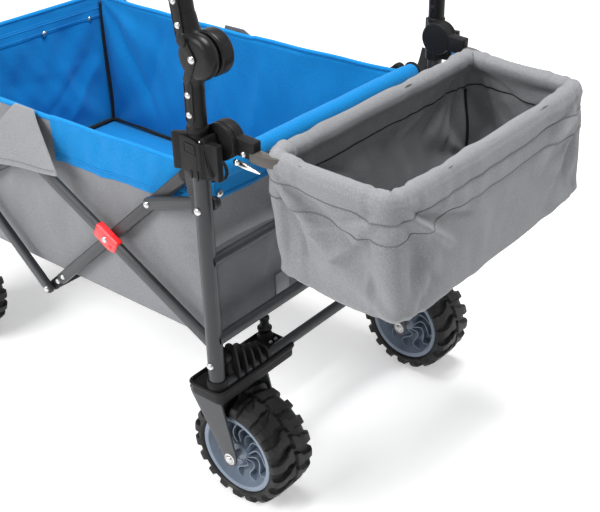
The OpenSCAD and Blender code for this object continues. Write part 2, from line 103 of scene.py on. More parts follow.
@dataclass
class Patch:
    """Points and faces of one surface, with its finish's number, or a number for each face."""

    points: Array
    faces: list
    finish: int | Array = 0
    flat: Array | None = None

    def mirrored(self, x: bool = False, y: bool = False) -> "Patch":
        """The same patch on the other side of the wagon's middle planes.

        Args:
            x: mirror front to rear.
            y: mirror left to right.

        Returns:
            A new patch.
        """
        signs = np.array([-1.0 if x else 1.0, -1.0 if y else 1.0, 1.0])
        return Patch(self.points * signs, self.faces, self.finish, self.flat)


def surface(points: Array, finish: int = 0, caps: bool = False) -> Patch:
    """Quads over a grid of points; flat coordinates are the lengths along its rows and columns.

    Args:
        points: array (rows, columns, 3). A closed ring repeats its first column at the end.
        finish: number of the finish.
        caps: close the first and last row with a face each.

    Returns:
        The patch.
    """
    rows, cols = points.shape[:2]
    i, j = np.meshgrid(np.arange(rows - 1), np.arange(cols - 1), indexing="ij")
    a = (i * cols + j).ravel()
    faces = np.stack([a, a + 1, a + cols + 1, a + cols], axis=1).tolist()
    if caps:
        ring = np.arange(cols - 1)
        faces += [ring.tolist(), (ring + (rows - 1) * cols).tolist()]
    across = np.linalg.norm(np.diff(points, axis=1, prepend=points[:, :1]), axis=2)
    along = np.linalg.norm(np.diff(points, axis=0, prepend=points[:1]), axis=2)
    flat = np.stack([np.cumsum(across, axis=1), np.cumsum(along, axis=0)], axis=2)
    return Patch(points.reshape(-1, 3), faces, finish, flat.reshape(-1, 2))


def ring(radius: float, steps: int = 32) -> Array:
    """A closed circle in two dimensions, its first point repeated."""
    angle = np.linspace(0.0, TAU, steps + 1)
    return radius * np.stack([np.cos(angle), np.sin(angle)], axis=1)


def rounded(corners: list, radius: float, steps: int = 5) -> Array:
    """A closed outline whose corners are parabolic arcs, tangent to both of their sides.

    Each arc is (1-t)^2 A + 2t(1-t) C + t^2 B, where C is the corner and A and B lie at the
    radius from it on its two sides, or at 0.45 of a shorter side.

    Args:
        corners: the corner points, in order.
        radius: distance from a corner at which its arc starts.
        steps: points on each arc.

    Returns:
        Array (n, 2), its first point repeated at the end.
    """
    c = np.asarray(corners, float)
    before, after = np.roll(c, 1, axis=0) - c, np.roll(c, -1, axis=0) - c
    lb = np.linalg.norm(before, axis=1, keepdims=True)
    la = np.linalg.norm(after, axis=1, keepdims=True)
    a = c + before / lb * np.minimum(radius, 0.45 * lb)
    b = c + after / la * np.minimum(radius, 0.45 * la)
    t = np.linspace(0.0, 1.0, steps)[None, :, None]
    arcs = (1 - t) ** 2 * a[:, None] + 2 * t * (1 - t) * c[:, None] + t ** 2 * b[:, None]
    outline = arcs.reshape(-1, 2)
    return np.concatenate([outline, outline[:1]])


def stadium(p: Array, q: Array, width: float, steps: int = 12) -> Array:
    """A closed outline of constant width round the segment from p to q, with half-round ends.

    Args:
        p: one end of the segment.
        q: the other end.
        width: the outline's width.
        steps: points on each half-round end.

    Returns:
        Array (n, 2), its first point repeated at the end.
    """
    along = (q - p) / np.linalg.norm(q - p)
    start = math.atan2(along[1], along[0])
    turn = np.linspace(-math.pi / 2, math.pi / 2, steps)
    far = q + width / 2 * np.stack([np.cos(start + turn), np.sin(start + turn)], axis=1)
    near = p - width / 2 * np.stack([np.cos(start + turn), np.sin(start + turn)], axis=1)
    outline = np.concatenate([far, near])
    return np.concatenate([outline, outline[:1]])


def inset(outline: Array, depth: float) -> Array:
    """The closed outline moved inwards along the mean of its neighbouring sides' normals.

    Args:
        outline: array (n, 2), its first point repeated at the end.
        depth: how far it moves.

    Returns:
        An outline of the same length.
    """
    p = outline[:-1]
    side = np.roll(p, -1, axis=0) - p
    side /= np.maximum(np.linalg.norm(side, axis=1, keepdims=True), 1e-9)
    normal = np.stack([-side[:, 1], side[:, 0]], axis=1)
    mean = normal + np.roll(normal, 1, axis=0)
    mean /= np.maximum(np.linalg.norm(mean, axis=1, keepdims=True), 1e-9)
    area = np.sum(p[:, 0] * np.roll(p[:, 1], -1) - p[:, 1] * np.roll(p[:, 0], -1))
    moved = p + math.copysign(depth, area) * mean
    return np.concatenate([moved, moved[:1]])


def plate(outline: Array, low: float, high: float, soft: float, normal: str = "Y",
          finish: int = 0, steps: int = 4) -> Patch:
    """An outline extruded along an axis, its edges rounded by a quarter circle.

    At the angle t of the quarter circle a ring lies soft*(1-sin t) inside the outline and
    soft*(1-cos t) in from the end face.

    Args:
        outline: closed outline, in (x, z) for normal Y, (x, y) for Z and (y, z) for X.
        low: where the extrusion starts along the normal.
        high: where it ends.
        soft: radius of the rounded edge.
        normal: the axis of the extrusion.
        finish: number of the finish.
        steps: rings on each rounded edge.

    Returns:
        A closed patch.
    """
    t = np.linspace(0.0, math.pi / 2, steps)
    depth = np.concatenate([soft * (1 - np.sin(t)), soft * (1 - np.sin(t[::-1]))])
    level = np.concatenate([low + soft * (1 - np.cos(t)), high - soft * (1 - np.cos(t[::-1]))])
    rings = np.stack([inset(outline, d) for d in depth])
    height = np.broadcast_to(level[:, None], rings.shape[:2])
    u, v = rings[..., 0], rings[..., 1]
    stacked = {"Y": (u, height, v), "Z": (u, v, height), "X": (height, u, v)}[normal]
    return surface(np.stack(stacked, axis=2), finish, caps=True)


def lathe(profile: Array, centre: Array, axis: str = "Y", finish: int = 0,
          steps: int = 40) -> Patch:
    """A profile turned about an axis through a centre.

    A profile point (h, r) becomes centre + h axis + r (cos a, sin a) for each angle a.

    Args:
        profile: array (n, 2) of heights along the axis and radii.
        centre: a point on the axis, at height 0.
        axis: X, Y or Z.
        finish: number of the finish.
        steps: faces round the axis.

    Returns:
        The patch, closed if the profile starts and ends on the axis.
    """
    p = np.asarray(profile, float)
    angle = np.linspace(0.0, TAU, steps + 1)
    u, v = p[:, 1, None] * np.cos(angle), p[:, 1, None] * np.sin(angle)
    h = np.broadcast_to(p[:, 0, None], u.shape)
    stacked = {"X": (h, u, v), "Y": (u, h, v), "Z": (u, v, h)}[axis]
    return surface(np.stack(stacked, axis=2) + np.asarray(centre, float), finish)


def carry(profile: Array, path: Array, up: tuple = (0.0, 0.0, 1.0), finish: int = 0,
          size: Array | None = None, caps: bool = True) -> Patch:
    """A profile carried along a path.

    With T the path's direction, the profile's first axis lies along T x up and its second
    along the cross product of that with T. A path that ends where it starts is closed.

    Args:
        profile: array (m, 2); a closed one repeats its first point.
        path: array (n, 3).
        up: a direction that the path never runs along.
        finish: number of the finish.
        size: scale of the profile at each point of the path.
        caps: close the two ends.

    Returns:
        The patch.
    """
    path = np.asarray(path, float)
    run = np.gradient(path, axis=0)
    if np.allclose(path[0], path[-1]):
        run[0] = run[-1] = path[1] - path[-2]
        caps = False
    run /= np.linalg.norm(run, axis=1, keepdims=True)
    side = np.cross(run, np.asarray(up, float))
    side /= np.linalg.norm(side, axis=1, keepdims=True)
    top = np.cross(side, run)
    scale = np.ones(len(path)) if size is None else np.asarray(size, float)
    p = profile[None] * scale[:, None, None]
    points = path[:, None] + p[..., :1] * side[:, None] + p[..., 1:] * top[:, None]
    return surface(points, finish, caps=caps)


def smooth_path(knots: list, steps: int = 12) -> Array:
    """A Catmull-Rom curve through the knots, its ends continued in a straight line.

    Args:
        knots: points, in order.
        steps: points between two knots.

    Returns:
        Array (n, 3).
    """
    k = np.asarray(knots, float)
    k = np.concatenate([[2 * k[0] - k[1]], k, [2 * k[-1] - k[-2]]])
    t = np.linspace(0.0, 1.0, steps, endpoint=False)[None, :, None]
    a, b, c, d = (k[i:len(k) - 3 + i, None] for i in range(4))
    part = 0.5 * (2 * b + (c - a) * t + (2 * a - 5 * b + 4 * c - d) * t ** 2
                  + (3 * b - 3 * c + d - a) * t ** 3)
    return np.concatenate([part.reshape(-1, k.shape[1]), k[-2:-1]])


def rivet(centre: Array, radius: float, height: float, axis: str = "Y", out: float = -1.0,
          finish: int = 0) -> Patch:
    """A domed rivet head on a thin flange, its foot sunk a little into what it holds.

    The dome's height at the radius r is height * (1 - (r / radius)^2)^0.7.

    Args:
        centre: middle of the head's foot.
        radius: radius of the flange.
        height: height of the dome.
        axis: the rivet's axis.
        out: sign of the direction that the head faces.
        finish: number of the finish.

    Returns:
        A closed patch.
    """
    r = np.linspace(radius, 0.0, 8)
    dome = height * (1 - (r / radius) ** 2) ** 0.7 + 0.0005
    h = np.concatenate([[-0.001, -0.001], dome])
    radii = np.concatenate([[0.0, radius], r])
    return lathe(np.stack([out * h, radii], axis=1), centre, axis, finish, 20)


def drum(centre: Array, low: float, high: float, radius: float, soft: float,
         finish: int = 0, steps: int = 56) -> Patch:
    """A solid disc along Y whose two rims are rounded by a quarter circle.

    Args:
        centre: a point on its axis.
        low: the Y of one face.
        high: the Y of the other.
        radius: its radius.
        soft: radius of the rounded rims.
        finish: number of the finish.
        steps: faces round the axis.

    Returns:
        A closed patch.
    """
    t = np.linspace(0.0, math.pi / 2, 6)
    h = np.concatenate([[low], low + soft * (1 - np.cos(t)),
                        high - soft * (1 - np.cos(t[::-1])), [high]])
    r = radius - soft + np.concatenate([soft * np.sin(t), soft * np.sin(t[::-1])])
    radii = np.concatenate([[0.0], r, [0.0]])
    middle = np.array([centre[0], 0.0, centre[2]])
    return lathe(np.stack([h, radii], axis=1), middle, "Y", finish, steps)


def build(name: str, patches: list, finishes: list, sharp: float = METAL_TURN) -> bpy.types.Object:
    """One mesh object from patches, welded, with its faces outwards.

    Args:
        name: the object's name.
        patches: its patches.
        finishes: the finishes that the patches' numbers point to.
        sharp: an edge that turns by more degrees than this is drawn sharp.

    Returns:
        The object, linked to the scene.
    """
    starts = np.cumsum([0] + [len(p.points) for p in patches])
    points = np.concatenate([p.points for p in patches])
    flat = np.concatenate([p.flat for p in patches])
    faces = [[v + start for v in f] for p, start in zip(patches, starts) for f in p.faces]
    mesh = bpy.data.meshes.new(name)
    mesh.from_pydata(points.tolist(), [], faces)
    for finish in finishes:
        mesh.materials.append(finish.material())
    numbers = np.concatenate([np.broadcast_to(p.finish, len(p.faces)) for p in patches])
    mesh.polygons.foreach_set("material_index", numbers.astype(np.int32))
    corner = np.zeros(len(mesh.loops), np.int32)
    mesh.loops.foreach_get("vertex_index", corner)
    mesh.uv_layers.new(name="flat").data.foreach_set("uv", flat[corner].ravel())
    work = bmesh.new()
    work.from_mesh(mesh)
    bmesh.ops.remove_doubles(work, verts=work.verts, dist=WELD)
    bmesh.ops.dissolve_degenerate(work, edges=work.edges, dist=WELD / 10)
    bmesh.ops.recalc_face_normals(work, faces=work.faces)
    work.to_mesh(mesh)
    work.free()
    mesh.shade_smooth()
    mesh.set_sharp_from_angle(angle=math.radians(sharp))
    piece = bpy.data.objects.new(name, mesh)
    bpy.context.scene.collection.objects.link(piece)
    return piece


def fit(piece: bpy.types.Object, body: str, slot: str, *nodes: str) -> bpy.types.Object:
    """Seats a piece on its body and hides the CAD nodes that it replaces.

    Args:
        piece: the piece.
        body: the body that it rides on.
        slot: the record's material slot of its main finish; not used.
        nodes: the CAD nodes that it replaces.

    Returns:
        The piece.
    """
    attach(piece, body)
    if nodes:
        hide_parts(*nodes)
    log.info("%s on %s: %d faces", piece.name, body, len(piece.data.polygons))
    return piece


# ---------------------------------------------------------------- finishes


class Graph:
    """The nodes of one material, with short calls to add and join them."""

    def __init__(self, name: str) -> None:
        """Starts a material that holds only its shader and output."""
        self.material = bpy.data.materials.new(name)
        self.material.use_nodes = True
        self.nodes = self.material.node_tree.nodes
        self.links = self.material.node_tree.links
        self.shader = self.nodes["Principled BSDF"]

    def add(self, kind: str, **inputs: object) -> bpy.types.Node:
        """Adds a node and fills its inputs.

        Args:
            kind: the node's type name.
            inputs: a value or an output socket for each input, with _ for spaces; a name
                that the node has as a setting sets that instead.

        Returns:
            The node.
        """
        node = self.nodes.new(kind)
        for key, value in inputs.items():
            if hasattr(node, key):
                setattr(node, key, value)
                continue
            words = key.replace("_", " ")
            socket = next(s for s in node.inputs if s.name == words and s.enabled)
            if isinstance(value, bpy.types.NodeSocket):
                self.links.new(value, socket)
            else:
                socket.default_value = value
        return node

    def mix(self, factor: object, low: tuple, high: tuple) -> bpy.types.NodeSocket:
        """A colour between two others.

        Args:
            factor: the socket that chooses, 0 for low and 1 for high.
            low: a colour or a colour socket.
            high: another.

        Returns:
            The mixed colour's socket.
        """
        node = self.add("ShaderNodeMix", data_type="RGBA")
        self.links.new(factor, node.inputs[0])
        for socket, value in ((node.inputs[6], low), (node.inputs[7], high)):
            if isinstance(value, bpy.types.NodeSocket):
                self.links.new(value, socket)
            else:
                socket.default_value = (*value, 1.0)
        return node.outputs[2]

    def span(self, value: object, low: float, high: float, start: float = 0.0,
             end: float = 1.0) -> bpy.types.NodeSocket:
        """A socket's value moved from the range start..end to the range low..high.

        Args:
            value: the socket.
            low: what start becomes.
            high: what end becomes.
            start: the low end of the value's own range.
            end: the high end of it.

        Returns:
            The moved value's socket.
        """
        node = self.add("ShaderNodeMapRange", Value=value, From_Min=start, From_Max=end,
                        To_Min=low, To_Max=high)
        return node.outputs[0]

    def bump(self, height: object, strength: float, distance: float,
             under: object = None) -> bpy.types.NodeSocket:
        """A bumped normal.

        Args:
            height: the socket of the height, from 0 to 1.
            strength: share of the bump that shows.
            distance: height of the bump in metres.
            under: another normal, which this one lies over.

        Returns:
            The normal's socket.
        """
        node = self.add("ShaderNodeBump", Height=height, Strength=strength, Distance=distance)
        if under is not None:
            self.links.new(under, node.inputs["Normal"])
        return node.outputs[0]

    def place(self) -> bpy.types.NodeSocket:
        """The place on the object, in metres."""
        return self.add("ShaderNodeTexCoord").outputs["Object"]

    def noise(self, vector: object, scale: float, detail: float = 2.0) -> bpy.types.NodeSocket:
        """Soft noise, from 0 to 1."""
        return self.add("ShaderNodeTexNoise", Vector=vector, Scale=scale,
                        Detail=detail).outputs[0]

    def set(self, **values: object) -> None:
        """Fills the shader's inputs.

        Args:
            values: a value or an output socket for each input, with _ for spaces.
        """
        for key, value in values.items():
            socket = self.shader.inputs[key.replace("_", " ")]
            if isinstance(value, bpy.types.NodeSocket):
                self.links.new(value, socket)
            elif isinstance(value, tuple) and len(value) == 3:
                socket.default_value = (*value, 1.0)
            else:
                socket.default_value = value


@dataclass(frozen=True)
class Finish:
    """A finish of this wagon, made into a material once."""

    name: str
    colour: tuple

    def material(self) -> bpy.types.Material:
        """The finish's material, made the first time that it is asked for."""
        return bpy.data.materials.get(self.name) or self.mixed()

    def mixed(self) -> bpy.types.Material:
        """Makes the material; each kind of finish has its own recipe."""
        raise NotImplementedError


@dataclass(frozen=True)
class PowderCoat(Finish):
    """Baked powder paint on steel: a faint orange peel, duller patches and fine scuffs."""

    roughness: float = 0.36
    worn: tuple = (0.16, 0.16, 0.165)
    shine: float = 0.32

    def mixed(self) -> bpy.types.Material:
        """Soft noise moves roughness and tint; the peaks of a stretched noise are scuffs.

        Returns:
            The material.
        """
        g = Graph(self.name)
        at = g.place()
        patches = g.noise(at, 14.0, 3.0)
        peel = g.noise(at, 700.0, 1.0)
        drawn = g.add("ShaderNodeMapping", Vector=at, Scale=(1.0, 1.0, 0.18)).outputs[0]
        scuffs = g.noise(drawn, 160.0, 5.0)
        tint = g.mix(g.span(patches, 0.0, 1.0, 0.3, 0.7), self.colour,
                     tuple(1.12 * c for c in self.colour))
        g.set(Base_Color=g.mix(g.span(scuffs, 0.0, 0.35, 0.66, 0.80), tint, self.worn),
              Roughness=g.span(patches, self.roughness - 0.04, self.roughness + 0.05, 0.3, 0.7),
              Specular_IOR_Level=self.shine, Coat_Weight=0.06, Coat_Roughness=0.22,
              Normal=g.bump(peel, 0.08, 0.0002))
        return g.material


@dataclass(frozen=True)
class Moulded(Finish):
    """Moulded plastic with a fine grain, and a sheen that varies with handling."""

    roughness: float = 0.46
    grain: float = 0.22
    shine: float = 0.28

    def mixed(self) -> bpy.types.Material:
        """Fine noise bumps the surface and soft noise moves roughness and tint.

        Returns:
            The material.
        """
        g = Graph(self.name)
        at = g.place()
        grain = g.noise(at, 1100.0, 2.0)
        soft = g.noise(at, 22.0, 3.0)
        tint = g.mix(g.span(soft, 0.0, 1.0, 0.3, 0.7), self.colour,
                     tuple(1.35 * c for c in self.colour))
        g.set(Base_Color=tint,
              Roughness=g.span(soft, self.roughness - 0.07, self.roughness + 0.09, 0.3, 0.7),
              Specular_IOR_Level=self.shine, Normal=g.bump(grain, self.grain, 0.0004))
        return g.material


@dataclass(frozen=True)
class Weave(Finish):
    """Plain-woven cloth: two sets of threads, slubs, and a soft fuzz of loose fibre."""

    thread: float = 0.0011
    depth: float = 0.5
    roughness: float = 0.82
    dirt: float = 0.84
    sheen: float = 0.12

    def mixed(self) -> bpy.types.Material:
        """Crossed waves along the cloth's own flat coordinates give the threads.

        Returns:
            The material.
        """
        g = Graph(self.name)
        flat = g.add("ShaderNodeUVMap", uv_map="flat").outputs[0]
        at = g.place()
        scale = TAU / 20.0 / self.thread
        threads = [g.add("ShaderNodeTexWave", Vector=flat, Scale=scale,
                         Distortion=0.6, Detail=1.0, Detail_Scale=2.0,
                         bands_direction=axis).outputs["Fac"] for axis in ("X", "Y")]
        weave = g.add("ShaderNodeMath", operation="MULTIPLY").outputs[0]
        for socket, thread in zip(weave.node.inputs, threads):
            g.links.new(thread, socket)
        slubs = g.noise(at, 420.0, 4.0)
        broad = g.noise(at, 9.0, 4.0)
        dark = tuple(self.dirt * c for c in self.colour)
        light = tuple(min(1.0, 1.14 * c) for c in self.colour)
        tint = g.mix(g.span(slubs, 0.0, 1.0, 0.3, 0.7), dark, light)
        tint = g.mix(g.span(broad, 0.0, 0.35, 0.3, 0.7), tint, light)
        creases = g.bump(g.noise(at, 38.0, 5.0), 0.22, 0.004)
        fine = g.bump(slubs, 0.25, 0.0006, creases)
        g.set(Base_Color=tint, Roughness=self.roughness, Sheen_Weight=self.sheen,
              Sheen_Roughness=0.5, Specular_IOR_Level=0.12,
              Normal=g.bump(weave, self.depth, 0.0004, fine))
        return g.material


@dataclass(frozen=True)
class Webbing(Finish):
    """Narrow woven band, ribbed across with a herringbone."""

    rib: float = 0.0024

    def mixed(self) -> bpy.types.Material:
        """Slanted waves along the band's flat coordinates give the ribs.

        Returns:
            The material.
        """
        g = Graph(self.name)
        flat = g.add("ShaderNodeUVMap", uv_map="flat").outputs[0]
        ribs = g.add("ShaderNodeTexWave", Vector=flat, Scale=1.0 / self.rib / 3.2,
                     Distortion=1.2, Detail=1.0, bands_direction="DIAGONAL").outputs["Fac"]
        fuzz = g.noise(g.place(), 900.0, 2.0)
        tint = g.mix(ribs, tuple(0.6 * c for c in self.colour),
                     tuple(1.7 * c for c in self.colour))
        g.set(Base_Color=tint, Roughness=0.8, Sheen_Weight=0.2, Specular_IOR_Level=0.3,
              Normal=g.bump(ribs, 0.6, 0.0007, g.bump(fuzz, 0.2, 0.0004)))
        return g.material


@dataclass(frozen=True)
class Rubber(Finish):
    """Moulded tyre rubber: matt, with dust in its low places."""

    dust: tuple = (0.020, 0.019, 0.018)

    def mixed(self) -> bpy.types.Material:
        """Hollows are tinted by dust, and a fine noise gives the skin.

        Returns:
            The material.
        """
        g = Graph(self.name)
        at = g.place()
        skin = g.noise(at, 520.0, 3.0)
        broad = g.noise(at, 30.0, 4.0)
        edge = g.add("ShaderNodeNewGeometry").outputs["Pointiness"]
        low = g.span(edge, 0.55, 0.0, 0.44, 0.51)
        tint = g.mix(low, self.colour, self.dust)
        g.set(Base_Color=tint, Roughness=g.span(broad, 0.42, 0.62, 0.3, 0.7),
              Specular_IOR_Level=0.3, Normal=g.bump(skin, 0.3, 0.0005))
        return g.material


@dataclass(frozen=True)
class BareMetal(Finish):
    """Bare metal with fine scratches and a little tarnish."""

    roughness: float = 0.2

    def mixed(self) -> bpy.types.Material:
        """Stretched noise gives the scratches, soft noise the tarnish.

        Returns:
            The material.
        """
        g = Graph(self.name)
        at = g.place()
        drawn = g.add("ShaderNodeMapping", Vector=at, Scale=(40.0, 900.0, 60.0)).outputs[0]
        scratches = g.noise(drawn, 3.0, 3.0)
        cloud = g.noise(at, 120.0, 3.0)
        tint = g.mix(g.span(cloud, 0.0, 1.0, 0.35, 0.7), self.colour,
                     tuple(0.82 * c for c in self.colour))
        g.set(Base_Color=tint, Metallic=1.0,
              Roughness=g.span(scratches, self.roughness - 0.05, self.roughness + 0.1),
              Normal=g.bump(scratches, 0.06, 0.0002))
        return g.material


@dataclass(frozen=True)
class Foam(Finish):
    """Closed-cell foam with small open pores in its skin."""

    def mixed(self) -> bpy.types.Material:
        """Cells are dents whose depth follows the distance to the nearest seed.

        Returns:
            The material.
        """
        g = Graph(self.name)
        at = g.place()
        cells = g.add("ShaderNodeTexVoronoi", Vector=at, Scale=650.0).outputs["Distance"]
        soft = g.noise(at, 40.0, 3.0)
        tint = g.mix(cells, tuple(0.55 * c for c in self.colour), self.colour)
        g.set(Base_Color=tint, Roughness=g.span(soft, 0.78, 0.95), Specular_IOR_Level=0.25,
              Normal=g.bump(cells, 0.5, 0.0006))
        return g.material


@dataclass(frozen=True)
class Paper(Finish):
    """Plain matt paper for the studio, lit a little from behind."""

    glow: float = 0.34

    def mixed(self) -> bpy.types.Material:
        """One even tint with no shine."""
        g = Graph(self.name)
        g.set(Base_Color=self.colour, Roughness=1.0, Specular_IOR_Level=0.0,
              Emission_Color=self.colour, Emission_Strength=self.glow)
        return g.material


PAPER = Paper("studio paper", (0.93, 0.93, 0.93))
FRAME_GREY = PowderCoat("frame grey", (0.025, 0.026, 0.029), shine=0.27)
FORK_GREY = PowderCoat("fork grey", (0.040, 0.041, 0.045), roughness=0.42)
HANDLE_BLACK = PowderCoat("handle black", (0.0070, 0.0070, 0.0075), roughness=0.4, shine=0.15,
                          worn=(0.06, 0.06, 0.06))
ARM_BRONZE = PowderCoat("arm grey", (0.060, 0.054, 0.049), roughness=0.4)
BLACK = Moulded("black plastic", (0.0078, 0.0078, 0.0084), shine=0.13)
RED = Moulded("red plastic", (0.78, 0.022, 0.026), roughness=0.26, grain=0.05, shine=0.5)
HUB_BLUE = Moulded("hub plastic", (0.125, 0.155, 0.200), roughness=0.34, grain=0.08, shine=0.5)
BLUE = Weave("blue cloth", (0.002, 0.172, 0.440), thread=0.0009, depth=0.3, sheen=0.07)
GREY = Weave("grey cloth", (0.192, 0.195, 0.204), thread=0.0013, depth=0.6)
TUB_GREY = Weave("tub grey cloth", (0.178, 0.181, 0.190), thread=0.0013, depth=0.5)
# Darker grey for the lower part of the rear wall's outer face: partly a darker cloth, partly painted
# shade.
DARK_CLOTH_AND_PAINTED_SHADE = Weave("lower rear cloth", (0.088, 0.090, 0.098), thread=0.0013, depth=0.5)
PIPING = Weave("black binding", (0.010, 0.010, 0.011), thread=0.0012, depth=0.5)
THREAD_BLUE = Weave("blue thread", (0.015, 0.21, 0.52), thread=0.0006, depth=0.4)
THREAD_GREY = Weave("grey thread", (0.135, 0.137, 0.143), thread=0.0006, depth=0.4)
STRAP = Webbing("black webbing", (0.012, 0.012, 0.013))
RUBBER = Rubber("tyre rubber", (0.0065, 0.0065, 0.0068))
RIVET = BareMetal("rivet steel", (0.52, 0.52, 0.52), roughness=0.26)
CHROME = BareMetal("lever chrome", (0.62, 0.62, 0.61), roughness=0.16)
ALUMINIUM = BareMetal("pull aluminium", (0.72, 0.73, 0.74), roughness=0.3)
FOAM = Foam("grip foam", (0.016, 0.016, 0.016))


# ---------------------------------------------------------------- places


def pivot(joint: str) -> Array:
    """A joint's point at rest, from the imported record."""
    rows = frame["record"]["behaviour"]["joints"]
    return np.array(next(j["pos_m"] for j in rows if j["name"] == joint), float)


def side_view(point: Array) -> Array:
    """A point's X and Z."""
    return np.array([point[0], point[2]])


@dataclass(frozen=True)
class Layout:
    """Places that several pieces share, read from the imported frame."""

    rear_x: float
    front_x: float
    post_y: float
    post_r: float
    layer_1: float
    layer_2: float
    tub_y: float
    bar_t: float = 0.012
    post_gap: float = 0.0008
    bar_gap: float = 0.0015

    @classmethod
    def read(cls) -> "Layout":
        """Reads the posts, the bar layers and the tub's outer face.

        Returns:
            The places.
        """
        low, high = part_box("rear_post_left")
        front_low, front_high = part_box("front_post_left")
        post_r = (high[0] - low[0]) / 2
        post_y = -(low[1] + high[1]) / 2
        layer_1 = post_y - post_r - cls.post_gap
        layer_2 = layer_1 - cls.bar_t - cls.bar_gap
        tub_y = -float(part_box("tub_side_left")[0][1])
        return cls(float(low[0] + high[0]) / 2, float(front_low[0] + front_high[0]) / 2,
                   float(post_y), float(post_r), float(layer_1), float(layer_2), tub_y)

    @property
    def mid_x(self) -> float:
        """Halfway between the front and rear posts."""
        return (self.rear_x + self.front_x) / 2


AT = Layout.read()


def mirrored_ends(patches: list) -> list:
    """Rear patches, worked out about the rear post, brought to the front.

    Args:
        patches: the rear patches, which are moved.

    Returns:
        Their mirror images at the front post.
    """
    for p in patches:
        p.points = p.points - np.array([AT.rear_x, 0.0, 0.0])
    flipped = [p.mirrored(x=True) for p in patches]
    for p in flipped:
        p.points = p.points + np.array([AT.front_x, 0.0, 0.0])
    return flipped


def both_sides(patches: list) -> list:
    """Patches of the left side with their mirror images on the right."""
    return patches + [p.mirrored(y=True) for p in patches]


# ---------------------------------------------------------------- casters


